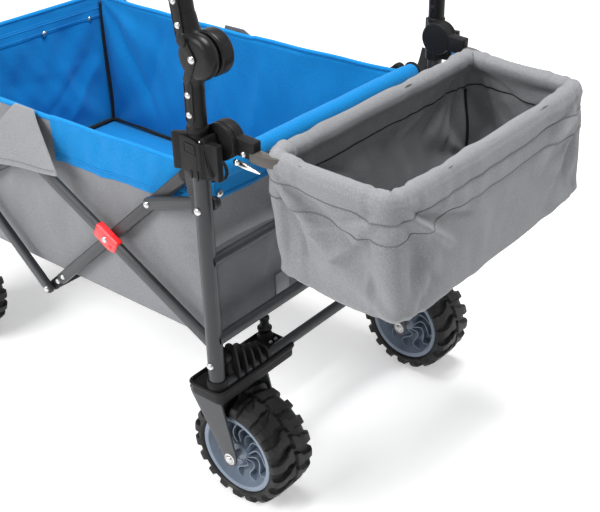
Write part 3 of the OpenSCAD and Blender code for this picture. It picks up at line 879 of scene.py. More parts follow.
@dataclass
class Caster:
    """One caster: a lugged tyre on a ribbed hub, in a pressed fork, with its swivel lock."""

    end: End
    side: Side
    tyre_r: float = 0.095
    half_w: float = 0.046
    hub_r: float = 0.0712
    lugs: int = 18
    ribs: int = 12
    leg_y: float = 0.052
    leg_t: float = 0.004
    crown: float = 0.2045
    crown_x: float = 0.034
    eye: float = 0.0155
    ear_l: float = 0.072
    ear_w: float = 0.024
    lock_y: float = 0.091
    lock_r: float = 0.0048
    rib_r: tuple = (0.0155, 0.0605)

    @property
    def tag(self) -> str:
        """The corner that the caster is at, as node names spell it."""
        return f"{self.end.word}_{self.side.word}"

    @property
    def axle(self) -> Array:
        """The middle of the wheel."""
        return pivot(f"wheel_{self.tag}_spin")

    @property
    def king(self) -> Array:
        """The middle of the kingpin, at the crown."""
        return pivot(f"swivel_{self.tag}") * np.array([1, 1, 0]) + np.array([0, 0, self.crown])

    def tyre(self) -> None:
        """A carcass and a lug surface over it, mixed by a pattern of lugs.

        Both are profiles (y, r) over a parameter t from bead to bead. With a = |2t-1|, the
        phase of a point is the fraction of lugs*angle/2pi + side/2 + 0.62 min(a, 0.55), so
        left and right lugs alternate and slant. A lug covers the phases within w(a) of 0.5,
        where w is wide near the middle, as a head, and narrower outside it.
        """
        t = np.linspace(0.0, 1.0, 57)
        a = np.abs(2 * t - 1)
        stops = [0.0, 0.5, 0.68, 0.8, 0.92, 1.0]
        w, r = self.half_w, self.tyre_r
        low_y = np.interp(a, stops, [0.0, 0.58 * w, 0.8 * w, 0.93 * w, 0.97 * w, 0.87 * w])
        low_r = np.interp(a, stops, [r - 8e-3, r - 8.6e-3, r - 1.05e-2, r - 1.5e-2,
                                     r - 2e-2, self.hub_r])
        top_y = np.interp(a, stops, [0.0, 0.62 * w, 0.88 * w, w, w, 0.88 * w])
        top_r = np.interp(a, stops, [r, r - 6e-4, r - 3.2e-3, r - 1e-2, r - 1.75e-2,
                                     self.hub_r])
        angle = np.linspace(0.0, TAU, 24 * self.lugs + 1)
        half = np.sign(2 * t - 1)
        phase = (self.lugs * angle[None] / TAU + 0.25 * half[:, None]
                 + 0.62 * np.minimum(a, 0.55)[:, None])
        off = np.abs(phase % 1.0 - 0.5)
        width = np.interp(a, [0.0, 0.04, 0.2, 0.3, 0.8, 1.0],
                          [0.34, 0.38, 0.37, 0.24, 0.25, 0.27])
        lug = np.clip((width[:, None] - off) / 0.045 + 0.5, 0.0, 1.0)
        lug = lug * lug * (3 - 2 * lug)
        lug = lug * np.interp(a, [0.0, 0.035, 0.07, 0.86, 0.93], [0.35, 0.35, 1, 1, 0])[:, None]
        y = low_y[:, None] + lug * (top_y - low_y)[:, None]
        radius = low_r[:, None] + lug * (top_r - low_r)[:, None]
        points = np.stack([radius * np.cos(angle), half[:, None] * y,
                           radius * np.sin(angle)], axis=2) + self.axle
        inner = surface(np.stack([points[0], points[-1]]))
        piece = build(f"tread_{self.tag}", [surface(points), inner], [RUBBER], 42.0)
        fit(piece, f"wheel_{self.tag}", "tyre_rubber", f"tyre_{self.tag}")

    def hub(self) -> None:
        """A dished wheel turned from a profile, with thin ribs that curve in an S.

        At the share u of its length a rib lies at the angle a0 + 0.3 sin(2 pi u) and at the
        radius r0 + u (r1 - r0), where r0 and r1 are its ends.
        """
        lip, floor, boss = 0.0405, 0.010, 0.032
        face = [(boss + 1e-3, 0.0), (boss + 1e-3, 0.012), (boss, 0.0145), (0.024, 0.0165),
                (floor, 0.019), (floor, 0.050), (0.016, 0.0555), (0.034, 0.0605),
                (lip - 1e-3, 0.0625), (lip, 0.0645), (lip + 3e-4, 0.0675), (lip - 2e-4, 0.070),
                (lip - 2e-3, self.hub_r)]
        half = np.array(face)
        other = half[::-1] * np.array([-1.0, 1.0])
        patches = [lathe(np.concatenate([half, other]), self.axle, steps=64)]
        u = np.linspace(0.0, 1.0, 12)
        radius = self.rib_r[0] + u * (self.rib_r[1] - self.rib_r[0])
        for number in range(self.ribs):
            angle = TAU * number / self.ribs + 0.3 * np.sin(TAU * u)
            middle = np.stack([radius * np.cos(angle), radius * np.sin(angle)], axis=1)
            run = np.gradient(middle, axis=0)
            normal = np.stack([-run[:, 1], run[:, 0]], axis=1)
            normal *= 0.0011 / np.linalg.norm(normal, axis=1, keepdims=True)
            crest = 0.028 - 0.006 * np.sin(math.pi * u)
            for sign in (-1.0, 1.0):
                low, high = np.full(len(u), sign * (floor - 1e-3)), sign * crest
                corners = [(middle + normal, low), (middle + normal, high),
                           (middle - normal, high), (middle - normal, low),
                           (middle + normal, low)]
                ring_points = [np.stack([m[:, 0], y, m[:, 1]], axis=1) for m, y in corners]
                patches.append(surface(np.stack(ring_points, axis=1) + self.axle, caps=True))
        piece = build(f"rim_{self.tag}", patches, [HUB_BLUE], 35.0)
        fit(piece, f"wheel_{self.tag}", "hub_plastic", f"hub_{self.tag}")

    def fork(self) -> None:
        """Two tapered legs under a crown plate, with the race, the axle's nuts and the bolts."""
        king, axle = self.king, self.axle
        trail = axle[0] - king[0]
        out = -1.0 if self.side is Side.LEFT else 1.0
        eye, half = self.eye, self.crown_x
        leg = rounded([(-half, self.crown), (half, self.crown),
                       (trail + eye, axle[2] + 0.004), (trail + 0.6 * eye, axle[2] - eye),
                       (trail - 0.6 * eye, axle[2] - eye), (trail - eye, axle[2] + 0.004)],
                      0.011, 6)
        leg = leg + np.array([king[0], 0.0])
        patches = []
        for sign in (-1.0, 1.0):
            near, far = sorted((king[1] + sign * self.leg_y,
                                king[1] + sign * (self.leg_y + self.leg_t)))
            patches.append(plate(leg, near, far, 0.0009))
            face = king[1] + sign * (self.leg_y + self.leg_t)
            nut = np.array([axle[0], face, axle[2]])
            patches.append(rivet(nut, 0.0105, 0.0012, out=sign, finish=1))
            patches.append(rivet(nut + np.array([0, sign * 0.001, 0]), 0.0075, 0.0042,
                                 out=sign, finish=1))
        reach = self.leg_y + self.leg_t
        crown = rounded([(-half, -reach), (half, -reach), (half, reach), (-half, reach)],
                        0.006) + king[:2]
        patches.append(plate(crown, self.crown - 0.0025, self.crown + 0.0025, 0.0012, "Z"))
        inward = -out
        ear = stadium(king[:2], king[:2] + np.array([0.0, inward * self.ear_l]), self.ear_w)
        patches.append(plate(ear, self.crown - 0.0024, self.crown + 0.0024, 0.001, "Z"))
        hole, rim = self.lock_r, self.ear_w / 2
        eyelet = [(-0.0024, hole), (-0.0024, rim - 0.0005), (-0.0018, rim), (0.0018, rim),
                  (0.0024, rim - 0.0005), (0.0024, hole), (-0.0024, hole)]
        patches.append(lathe(eyelet, king + np.array([0.0, inward * self.lock_y, 0.0]), "Z"))
        race = [(0.0, 0.0), (0.0, 0.029), (0.002, 0.030), (0.0055, 0.030), (0.007, 0.028),
                (0.007, 0.0)]
        patches.append(lathe(race, king, "Z"))
        for sign in (-1.0, 1.0):
            bolt = king + np.array([sign * 0.022, out * (reach - 0.012), 0.0025])
            patches.append(rivet(bolt, 0.005, 0.003, "Z", 1.0, 1))
        shaft = np.array([axle[0], king[1], axle[2]])
        span = self.leg_y + 0.002
        patches.append(lathe([(-span, 0.0), (-span, 0.006), (span, 0.006), (span, 0.0)],
                             shaft, finish=1, steps=20))
        piece = build(f"caster_fork_{self.tag}", patches, [FORK_GREY, RIVET])
        fit(piece, f"caster_{self.tag}", "frame_grey", f"fork_{self.tag}")

    def lock(self) -> None:
        """The swivel lock's pull knob: a waisted grip on a flange, with its plunger."""
        low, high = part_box(f"lock_knob_{self.tag}")
        base = np.array([(low[0] + high[0]) / 2, (low[1] + high[1]) / 2, 0.0])
        top = float(high[2])
        knob = [(top - 0.062, 0.0), (top - 0.062, 0.0038), (top - 0.026, 0.0038),
                (top - 0.025, 0.0118), (top - 0.0235, 0.0124), (top - 0.021, 0.0122),
                (top - 0.020, 0.0098), (top - 0.0165, 0.0076), (top - 0.010, 0.0072),
                (top - 0.0075, 0.0078), (top - 0.006, 0.0088), (top - 0.0015, 0.0086),
                (top - 0.0003, 0.0072), (top, 0.0)]
        piece = build(f"swivel_lock_{self.tag}", [lathe(knob, base, "Z")], [BLACK], MOULD_TURN)
        fit(piece, f"lock_{self.tag}", "black_plastic", f"lock_knob_{self.tag}")

    def make(self) -> None:
        """Builds the whole caster."""
        self.tyre()
        self.hub()
        self.fork()
        self.lock()


# ---------------------------------------------------------------- end frames


@dataclass
class EndFrame:
    """The moulded feet, the rivets and the caps on one end's posts."""

    end: End
    fin_t: float = 0.004
    fins: int = 5
    fin_drop: float = 0.009
    crest: float = 0.083
    deck: float = 0.024
    corner: float = 0.012

    def feet(self) -> None:
        """A foot on each side: a plate with a rolled rim, a post collar and a row of fins."""
        low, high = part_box("rear_feet")
        x0, x1 = float(low[0]) + 0.030, float(high[0])
        outer, inner = float(low[1]), float(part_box("lock_knob_rear_left")[1][1]) + 0.002
        base, deck = float(low[2]), float(low[2]) + self.deck
        rail_x = AT.rear_x + 0.008
        rim = rounded([(x0, outer), (x1, outer), (x1, inner), (x0, inner)], self.corner, 6)
        patches = [plate(rim, base, deck - 0.004, 0.003, "Z")]
        lip = np.concatenate([rim, np.full((len(rim), 1), deck - 0.004)], axis=1)
        patches.append(carry(ring(0.0035, 10), lip))
        post = np.array([AT.rear_x, -AT.post_y, 0.0])
        collar = [(deck - 0.006, 0.0), (deck - 0.006, AT.post_r + 0.0060),
                  (deck + 0.003, AT.post_r + 0.004), (deck + 0.009, AT.post_r + 0.0030),
                  (deck + 0.0105, AT.post_r + 0.0020), (deck + 0.0105, 0.0)]
        patches.append(lathe(collar, post, "Z"))
        crest = base + self.crest
        for number, y in enumerate(np.linspace(-AT.tub_y - 0.012, inner - 0.062, self.fins)):
            drop = self.fin_drop * number
            fin = rounded([(x0 + 0.014, deck - 0.006), (x1 - 0.004, deck - 0.006),
                           (rail_x + 0.013, deck + 0.014), (rail_x + 0.004, crest - drop),
                           (rail_x - 0.016, crest - drop), (x0 + 0.030, deck + 0.016)], 0.014)
            patches.append(plate(fin, y, y + self.fin_t, 0.001))
        boss = [(deck - 0.006, 0.0), (deck - 0.006, 0.017), (deck + 0.010, 0.0125),
                (deck + 0.026, 0.0085), (deck + 0.030, 0.005), (deck + 0.031, 0.0)]
        patches.append(lathe(boss, np.array([AT.rear_x - 0.004, -AT.post_y + 0.030, 0.0]), "Z"))
        lock_low, lock_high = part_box("lock_knob_rear_left")
        lock = np.array([(lock_low[0] + lock_high[0]) / 2, (lock_low[1] + lock_high[1]) / 2, 0])
        seat = [(deck - 0.006, 0.0), (deck - 0.006, 0.0145), (deck + 0.004, 0.0125),
                (deck + 0.0085, 0.0105), (deck + 0.0095, 0.009), (deck + 0.0095, 0.0)]
        patches.append(lathe(seat, lock, "Z"))
        for sign in (-1.0, 1.0):
            screw = lock + np.array([0.0175, sign * 0.006, deck - 0.004])
            patches.append(rivet(screw, 0.0034, 0.0038, "Z", 1.0, 1))
        patches = both_sides(patches)
        if self.end is End.FRONT:
            patches = mirrored_ends(patches)
        piece = build(f"foot_mouldings_{self.end.word}", patches, [BLACK, RIVET])
        fit(piece, f"{self.end.word}_frame", "black_plastic", f"{self.end.word}_feet")

    def rivets(self) -> None:
        """Domed heads outside the posts, and black washers and nuts inside them."""
        heights = (pivot("side_fold")[2], pivot("link_rear_fold")[2])
        inner = AT.layer_2 - AT.bar_t if self.end is End.FRONT else AT.layer_1 - AT.bar_t
        patches = []
        for z in heights:
            face = np.array([AT.rear_x, -AT.post_y - AT.post_r, z])
            patches.append(rivet(face - np.array([0, 0.0004, 0]), 0.0062, 0.0032))
            shank = np.array([AT.rear_x, 0.0, z])
            patches.append(lathe([(face[1], 0.0), (face[1], 0.004), (-inner, 0.004),
                                  (-inner, 0.0)], shank, steps=16))
            patches.append(rivet(np.array([AT.rear_x, -inner, z]), 0.0088, 0.0022, out=1.0,
                                 finish=1))
        patches = both_sides(patches)
        if self.end is End.FRONT:
            patches = mirrored_ends(patches)
        piece = build(f"post_rivets_{self.end.word}", patches, [RIVET, BLACK])
        fit(piece, f"{self.end.word}_frame", "rivet_steel", f"{self.end.word}_rivets")

    def caps(self) -> None:
        """Domed plugs on the front posts."""
        low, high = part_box("front_caps")
        z, top, r = float(low[2]), float(high[2]), AT.post_r + 0.0014
        profile = [(z - 0.004, 0.0), (z - 0.004, r - 0.0002), (z, r), (z + 0.003, r),
                   (top - 0.001, 0.7 * r), (top, 0.35 * r), (top, 0.0)]
        post = np.array([AT.front_x, -AT.post_y, 0.0])
        piece = build("post_plugs", both_sides([lathe(profile, post, "Z")]), [BLACK], MOULD_TURN)
        fit(piece, "front_frame", "black_plastic", "front_caps")

    def make(self) -> None:
        """Builds the end's pieces."""
        self.feet()
        self.rivets()
        if self.end is End.FRONT:
            self.caps()


# ---------------------------------------------------------------- scissor


@dataclass
class Scissor:
    """The long, short and link bars of both sides, with their caps, clips and rivets."""

    bar_w: float = 0.020
    soft: float = 0.0042
    cap_len: float = 0.019
    clip_l: float = 0.051
    clip_grow: float = 0.0026
    tube_r: float = 0.009
    foot: Array = field(default_factory=lambda: side_view(pivot("side_fold")))
    top: Array = field(default_factory=lambda: side_view(pivot("top_fold")))
    cross: Array = field(default_factory=lambda: side_view(pivot("short_rear_fold")))
    link: Array = field(default_factory=lambda: side_view(pivot("link_rear_fold")))

    @property
    def bottom(self) -> Array:
        """The pivot where the short bars meet, in the side view."""
        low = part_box("floor_cross_bar")[0]
        return np.array([low[0] + self.bar_w / 2, low[2] + self.bar_w / 2])

    @property
    def joint(self) -> Array:
        """The link's pivot on the short bar, in the side view."""
        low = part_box("links_rear")[0]
        return np.array([low[0] + self.bar_w / 2, low[2] + self.bar_w / 2])

    @property
    def short_end(self) -> Array:
        """The middle of the short bar's upper end, in the side view."""
        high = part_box("short_bars_rear")[1]
        return np.array([high[0] - self.bar_w / 2, high[2] - self.bar_w / 2])

    @staticmethod
    def to_front(point: Array) -> Array:
        """A point of the rear half, in the side view, mirrored to the front half."""
        return np.array([2 * AT.mid_x - point[0], point[1]])

    def bar(self, p: Array, q: Array, outer: float, finish: int = 0, grow: float = 0.0) -> Patch:
        """A flat oval tube between two pivots, in the side view.

        Args:
            p: one pivot.
            q: the other.
            outer: how far its outer face is from the wagon's middle.
            finish: number of the finish.
            grow: how much larger it is than the bar, on every side.

        Returns:
            The left tube.
        """
        outline = stadium(p, q, self.bar_w + 2 * grow)
        return plate(outline, -outer - grow, -outer + AT.bar_t + grow, self.soft, finish=finish,
                     steps=5)

    def cap(self, p: Array, towards: Array, outer: float, overhang: float = 0.0) -> Patch:
        """A black cap over a bar's end, a little proud of the bar."""
        along = (towards - p) / np.linalg.norm(towards - p)
        return self.bar(p - overhang * along, p + self.cap_len * along, outer, 1, 0.0006)

    def head(self, p: Array, outer: float, finish: int = 2, size: float = 0.0058) -> Patch:
        """A domed rivet head on a bar's outer face."""
        return rivet(np.array([p[0], -outer, p[1]]), size, 0.0030, finish=finish)

    def long_bars(self) -> None:
        """The long bars, which run from a post's foot up to the middle of the tub's edge."""
        parts = {
            End.REAR: (self.foot, self.top, AT.layer_1),
            End.FRONT: (self.to_front(self.foot), self.top, AT.layer_2),
        }
        for end, (p, q, outer) in parts.items():
            patches = [self.bar(p, q, outer), self.cap(p, q, outer), self.cap(q, p, outer)]
            if end is End.REAR:
                patches += [self.head(q, outer + 0.0004), self.head(self.cross, outer + 0.0028)]
            inner = -outer + AT.bar_t
            k = self.cross if end is End.REAR else self.to_front(self.cross)
            patches.append(rivet(np.array([k[0], inner, k[1]]), 0.0055, 0.0009, out=1.0,
                                 finish=2))
            piece = build(f"long_bar_pair_{end.word}", both_sides(patches),
                          [FRAME_GREY, BLACK, RIVET])
            fit(piece, f"long_{end.word}", "frame_grey", f"long_bars_{end.word}")

    def short_bars(self) -> None:
        """The short bars, which meet low under the tub and run up past the crossing."""
        along = (self.short_end - self.bottom) / np.linalg.norm(self.short_end - self.bottom)
        start = self.bottom + 0.034 * along
        rear = [self.bar(start, self.short_end, AT.layer_2),
                self.cap(self.short_end, start, AT.layer_2)]
        rear.append(self.head(start + 0.012 * along, AT.layer_2, 2, 0.005))
        piece = build("short_bar_pair_rear", both_sides(rear), [FRAME_GREY, BLACK, RIVET])
        fit(piece, "short_rear", "frame_grey", "short_bars_rear")
        end, k = self.to_front(self.short_end), self.to_front(self.cross)
        front = [self.bar(self.bottom, end, AT.layer_1), self.cap(end, self.bottom, AT.layer_1),
                 self.head(self.bottom, AT.layer_1), self.head(k, AT.layer_1 + 0.0028)]
        piece = build("short_bar_pair_front", both_sides(front), [FRAME_GREY, BLACK, RIVET])
        fit(piece, "short_front", "frame_grey", "short_bars_front")

    def cross_bar(self) -> None:
        """Black end fittings of the rear short bars, joined by a tube under the floor."""
        along = (self.short_end - self.bottom) / np.linalg.norm(self.short_end - self.bottom)
        tip = self.bottom + 0.024 * along
        fitting = self.bar(self.bottom, tip, AT.layer_2, 0, -0.0004)
        neck = plate(stadium(self.bottom, self.bottom + 0.030 * along, 0.0165),
                     -AT.layer_2 + 0.002, -AT.layer_2 + AT.bar_t - 0.002, 0.002)
        patches = both_sides([fitting, neck, self.head(tip, AT.layer_2, 1, 0.0052)])
        y = AT.layer_2 - AT.bar_t
        path = np.array([[self.bottom[0], s * y, self.bottom[1]] for s in (-1.0, 0.0, 1.0)])
        patches.append(carry(ring(self.tube_r, 28), path))
        piece = build("floor_cross_tube", patches, [BLACK, RIVET])
        fit(piece, "short_rear", "black_plastic", "floor_cross_bar")

    def links(self) -> None:
        """The short links between the posts and the short bars."""
        for end in End:
            p, q = self.link, self.joint
            outer = AT.layer_1
            if end is End.FRONT:
                p, q, outer = self.to_front(p), self.to_front(q), AT.layer_2
            patches = [self.bar(p, q, outer), self.head(q, outer)]
            piece = build(f"link_pair_{end.word}", both_sides(patches),
                          [FRAME_GREY, BLACK, RIVET])
            fit(piece, f"link_{end.word}", "frame_grey", f"links_{end.word}")

    def clips(self) -> None:
        """Glossy red sleeves over the outer bars at the crossings, with a thumb ridge."""
        parts = {
            End.REAR: (self.foot, self.top, self.cross, "long_rear"),
            End.FRONT: (self.bottom, self.to_front(self.short_end), self.to_front(self.cross),
                        "short_front"),
        }
        for end, (p, q, at, body) in parts.items():
            along = (q - p) / np.linalg.norm(q - p)
            up = np.array([-along[1], along[0]])
            up *= math.copysign(1.0, up[1])
            half_l, half_h = self.clip_l / 2, self.bar_w / 2 + self.clip_grow
            shape = [at + s * half_l * along + h * half_h * up
                     for s, h in ((-1, -0.75), (-1, 1), (1, 1), (1, -1), (-0.45, -1.2))]
            outline = rounded(shape, 0.003)
            sleeve = plate(outline, -AT.layer_1 - 0.0025, -AT.layer_1 + AT.bar_t + 0.0006,
                           0.0035, steps=6)
            foot = at - 0.014 * along - 0.004 * up
            ridge = rivet(np.array([foot[0], -AT.layer_1 - 0.002, foot[1]]), 0.0045, 0.002)
            piece = build(f"red_clip_pair_{end.word}", both_sides([sleeve, ridge]), [RED], MOULD_TURN)
            fit(piece, body, "red_plastic", f"pivot_clips_{end.word}")

    def make(self) -> None:
        """Builds every bar and what is on it."""
        self.long_bars()
        self.short_bars()
        self.cross_bar()
        self.links()
        self.clips()


# ---------------------------------------------------------------- the tub


def soft_step(value: Array, start: float, end: float) -> Array:
    """A smooth rise from 0 to 1 between two values."""
    t = np.clip((value - start) / (end - start), 0.0, 1.0)
    return t * t * (3 - 2 * t)


def ripple(u: Array, v: Array, waves: list) -> Array:
    """A sum of sines: each wave is (height, turns along u, turns along v, phase)."""
    return sum(h * np.sin(TAU * (a * u + b * v) + c) for h, a, b, c in waves)


def fan(along: Array, down: Array, reach: float, folds: float, phase: float = 0.0) -> Array:
    """Folds that spread from a corner of a cloth panel.

    With d the distance from the corner and a the angle there, the height is
    (d / reach) exp(1 - d / reach) cos(folds a + phase), so it is largest at the reach.

    Args:
        along: distance from the corner along the panel.
        down: distance from it across the panel.
        reach: where the folds are highest.
        folds: how closely they follow each other round the corner.
        phase: where the first one lies.

    Returns:
        The height at each point, 1 at most.
    """
    far = np.hypot(along, down) / reach
    return far * np.exp(1 - far) * np.cos(folds * np.arctan2(along, down) + phase)


def crease(along: Array, down: Array, start: tuple, end: tuple, width: float) -> Array:
    """A single soft fold from one place on a panel to another, 1 high and fading at its ends.

    Args:
        along: how far along the panel the points are.
        down: how far down the panel the points are.
        start: (along, down) of one end.
        end: (along, down) of the other.
        width: distance from the fold's line at which it is about a third as high.

    Returns:
        The fold's height at each point.
    """
    run = np.array(end, float) - np.array(start, float)
    length = float(np.hypot(*run))
    t = ((along - start[0]) * run[0] + (down - start[1]) * run[1]) / length ** 2
    off = ((along - start[0]) * run[1] - (down - start[1]) * run[0]) / length
    fade = soft_step(t, -0.05, 0.25) * (1 - soft_step(t, 0.7, 1.05))
    return fade * np.exp(-np.abs(off / width) ** 1.6)


def cloth_shell(outer: Array, inner: Array, finish: int = 0, inside: int = 1) -> Patch:
    """A closed sheet of cloth between two grids of points with the same rows and columns.

    The rows run along the cloth; each row becomes a closed loop that goes up the outer grid
    and back down the inner one, and the first and last rows are capped.

    Args:
        outer: array (rows, columns, 3) of the outer face.
        inner: the same for the inner face.
        finish: number of the outer face's finish.
        inside: number of the inner face's finish.

    Returns:
        The closed sheet.
    """
    loop = np.concatenate([outer, inner[:, ::-1], outer[:, :1]], axis=1)
    patch = surface(loop, finish, caps=True)
    columns = loop.shape[1] - 1
    rows = loop.shape[0] - 1
    number = np.full((rows, columns), finish)
    number[:, outer.shape[1]:-1] = inside
    patch.finish = np.concatenate([number.ravel(), [finish, finish]])
    return patch


def thread_row(path: Array, pitch: float = 0.0052, width: float = 0.0007, finish: int = 0,
               out: tuple = (0.0, -1.0, 0.0)) -> Patch:
    """A row of stitches along a path: short raised threads, nearly end to end.

    Args:
        path: points along the seam, closely spaced.
        pitch: the length of a stitch and its gap.
        width: the thread's radius.
        finish: the thread's finish number.
        out: the side of the cloth that the thread shows on.

    Returns:
        The stitches as one thin tube that dips into the cloth between stitches.
    """
    steps = np.concatenate([[0.0], np.cumsum(np.linalg.norm(np.diff(path, axis=0), axis=1))])
    count = max(8, int(steps[-1] / pitch) * 6)
    at = np.linspace(0.0, steps[-1], count)
    points = np.stack([np.interp(at, steps, path[:, k]) for k in range(3)], axis=1)
    lift = np.clip(0.25 - np.cos(TAU * at / pitch), -0.6, 0.7) * width * 1.5
    points = points + lift[:, None] * np.array(out)
    return carry(ring(width, 5), points, finish=finish)


@dataclass
class Tub:
    """The folding cloth tub: sides, ends, floor, the folded edge band and the rear roll."""

    wall: float = 0.006
    nx: int = 220
    band_x0: float = 0.045
    keep: float = 0.308
    hem_at: tuple = (0.0, 0.074, 0.156, 0.27, 0.35, 0.387)
    hem_heights: tuple = (0.492, 0.4935, 0.494, 0.501, 0.510, 0.517)
    flap_top: tuple = (-0.036, 0.012)
    flap_low: tuple = (-0.118, 0.101)
    flap_drop: float = 0.190
    front_snaps: tuple = (-0.208, -0.088, 0.088, 0.208)
    rear_snaps: tuple = (-0.236, -0.08, 0.08, 0.236)
    snap_r: float = 0.0062
    rear_flap_h: float = 0.045
    edge_r: float = 0.0045

    def __post_init__(self) -> None:
        """Reads the tub's box."""
        low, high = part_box("tub_side_left")
        self.x0, self.x1 = float(low[0]), float(high[0])
        self.z0, self.z1 = float(low[2]), float(high[2])
        self.anchor = (AT.rear_x, 0.0, self.z0)

    def soft(self, piece: bpy.types.Object, body: str = "rear_frame") -> bpy.types.Object:
        """Gives a piece its own copy of its mesh."""
        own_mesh(piece)
        return piece

    def top(self, x: Array) -> Array:
        """The height of the upper edge, which sags a little between the posts."""
        u = (x - self.x0) / (self.x1 - self.x0)
        return self.z1 - 0.004 - 0.006 * np.sin(math.pi * u) + 0.0006 * np.sin(TAU * 5.3 * u)

    def bulge(self, x: Array, z: Array) -> Array:
        """How far the side stands out from its flat plane, in metres; the bars keep it in.

        Broad waves that fade out at the top edge and the floor, folds that fan out from the
        corners, and a raised corner seam near the rear post with gathers beside it.

        Args:
            x: each point's X.
            z: each point's Z.

        Returns:
            The distance at each point.
        """
        u = (x - self.x0) / (self.x1 - self.x0)
        v = (z - self.z0) / (self.z1 - self.z0)
        body = np.sin(math.pi * np.clip(v, 0, 1)) ** 0.6
        front, down, up = x - self.x0, self.z1 - z, z - self.z0
        waves = ripple(u, v, [(0.0016, 3.1, 0.7, 0.4), (0.0010, 7.3, -1.6, 1.9),
                              (0.0005, 15.0, 2.3, 0.8)])
        folds = 0.0036 * fan(front, down, 0.10, 9.0, 0.6) + 0.0032 * fan(front, up, 0.09, 8.0)
        folds = folds + 0.0024 * fan(self.x1 - x, down, 0.12, 8.0, 1.0)
        folds = folds + 0.0026 * fan(self.x1 - x, up, 0.09, 9.0, 2.0)
        folds = folds + 0.0050 * (crease(front, down, (0.03, 0.01), (0.16, 0.26), 0.012)
                                  + crease(front, down, (0.20, 0.02), (0.12, 0.22), 0.016)
                                  + crease(front, down, (0.34, 0.03), (0.27, 0.28), 0.020)
                                  - crease(front, down, (0.47, 0.02), (0.42, 0.25), 0.022))
        seam = np.exp(-((self.x1 - 0.030 - x) / 0.003) ** 2)
        beside = np.exp(-((self.x1 - 0.045 - x) / 0.016) ** 2)
        gathers = 0.0016 * beside * np.sin(TAU * 9.0 * v + 2.0 * np.sin(TAU * 2.0 * v))
        return body * (waves + folds - 0.0040) + body * gathers + 0.0012 * body * seam

    def side(self, side: Side) -> None:
        """A side: a grey outer face and a blue inner one, closed over the top edge.

        Args:
            side: the side that it is on.
        """
        sign = float(side.value)
        x = np.linspace(self.x0 + 0.0005, self.x1 - 0.0005, self.nx)
        v = np.linspace(0.0, 1.0, 60)
        z = self.z0 + v[None] * (self.top(x) - self.z0)[:, None]
        xs = np.repeat(x[:, None], len(v), axis=1)
        shape = self.bulge(xs, z)
        lip = 0.5 * self.wall * (1 - np.sqrt(np.clip(1 - ((v - 0.99) / 0.01).clip(0, 1) ** 2,
                                                     0, 1)))
        y_out = AT.tub_y - 0.002 + shape - lip[None]
        y_in = AT.tub_y - 0.002 - self.wall + shape + lip[None]
        outer = np.stack([xs, sign * y_out, z], axis=2)
        inner = np.stack([xs, sign * y_in, z], axis=2)
        shell = cloth_shell(outer, inner)
        piece = build(f"side_cloth_{side.word}", [shell], [TUB_GREY, BLUE], CLOTH_TURN)
        fit(piece, "rear_frame", "blue_cloth", f"tub_side_{side.word}")
        self.soft(piece)

    def hem_z(self, x: Array) -> Array:
        """The lower edge of the folded blue band along the outside of a side."""
        return np.interp(x - AT.mid_x, self.hem_at, self.hem_heights)

    def band(self, side: Side) -> None:
        """The blue band folded over the rear half of a side's edge, with its stitches.

        Args:
            side: the side that it is on.
        """
        sign = float(side.value)
        x = np.linspace(AT.mid_x + self.band_x0, self.x1 + 0.001, 130)
        v = np.linspace(0.0, 1.0, 34)
        low, high = self.hem_z(x), self.top(x) + 0.0016
        z = low[:, None] + v[None] * (high - low)[:, None]
        xs = np.repeat(x[:, None], len(v), axis=1)
        u = (xs - x[0]) / (x[-1] - x[0])
        lift = ripple(u, v[None], [(0.0008, 4.1, 0.4, 0.0), (0.0005, 9.7, -0.8, 1.0)])
        hem = 0.0011 * (1 - soft_step(v, 0.14, 0.18))[None] - 0.0007 * np.exp(
            -((v - 0.16) / 0.02) ** 2)[None]
        proud = 0.0022 + lift + hem
        face = AT.tub_y - 0.002 + self.bulge(xs, z)
        outer = np.stack([xs, sign * (face + proud), z], axis=2)
        inner = np.stack([xs, sign * (face + 0.0002), z], axis=2)
        patches = [cloth_shell(outer, inner, 0, 0)]
        for row in (3, 5):
            path = outer[:, row]
            patches.append(thread_row(path, finish=1, out=(0.0, sign, 0.0)))
        edge = outer[:, -1] * np.array([1, 0, 1]) + np.array([0, sign * (AT.tub_y - 0.005), 0])
        patches.append(carry(ring(0.0042, 14), edge))
        piece = build(f"edge_band_{side.word}", patches, [BLUE, THREAD_BLUE], CLOTH_TURN)
        fit(piece, "rear_frame", "blue_cloth")
        self.soft(piece)
        front = np.linspace(self.x0 + 0.002, AT.mid_x + self.band_x0, 80)
        edge = np.stack([front, np.full(80, sign * (AT.tub_y - 0.005)), self.top(front)], axis=1)
        rim = build(f"edge_roll_{side.word}", [carry(ring(self.edge_r, 14), edge)], [BLUE],
                    CLOTH_TURN)
        fit(rim, "rear_frame", "blue_cloth")
        self.soft(rim)

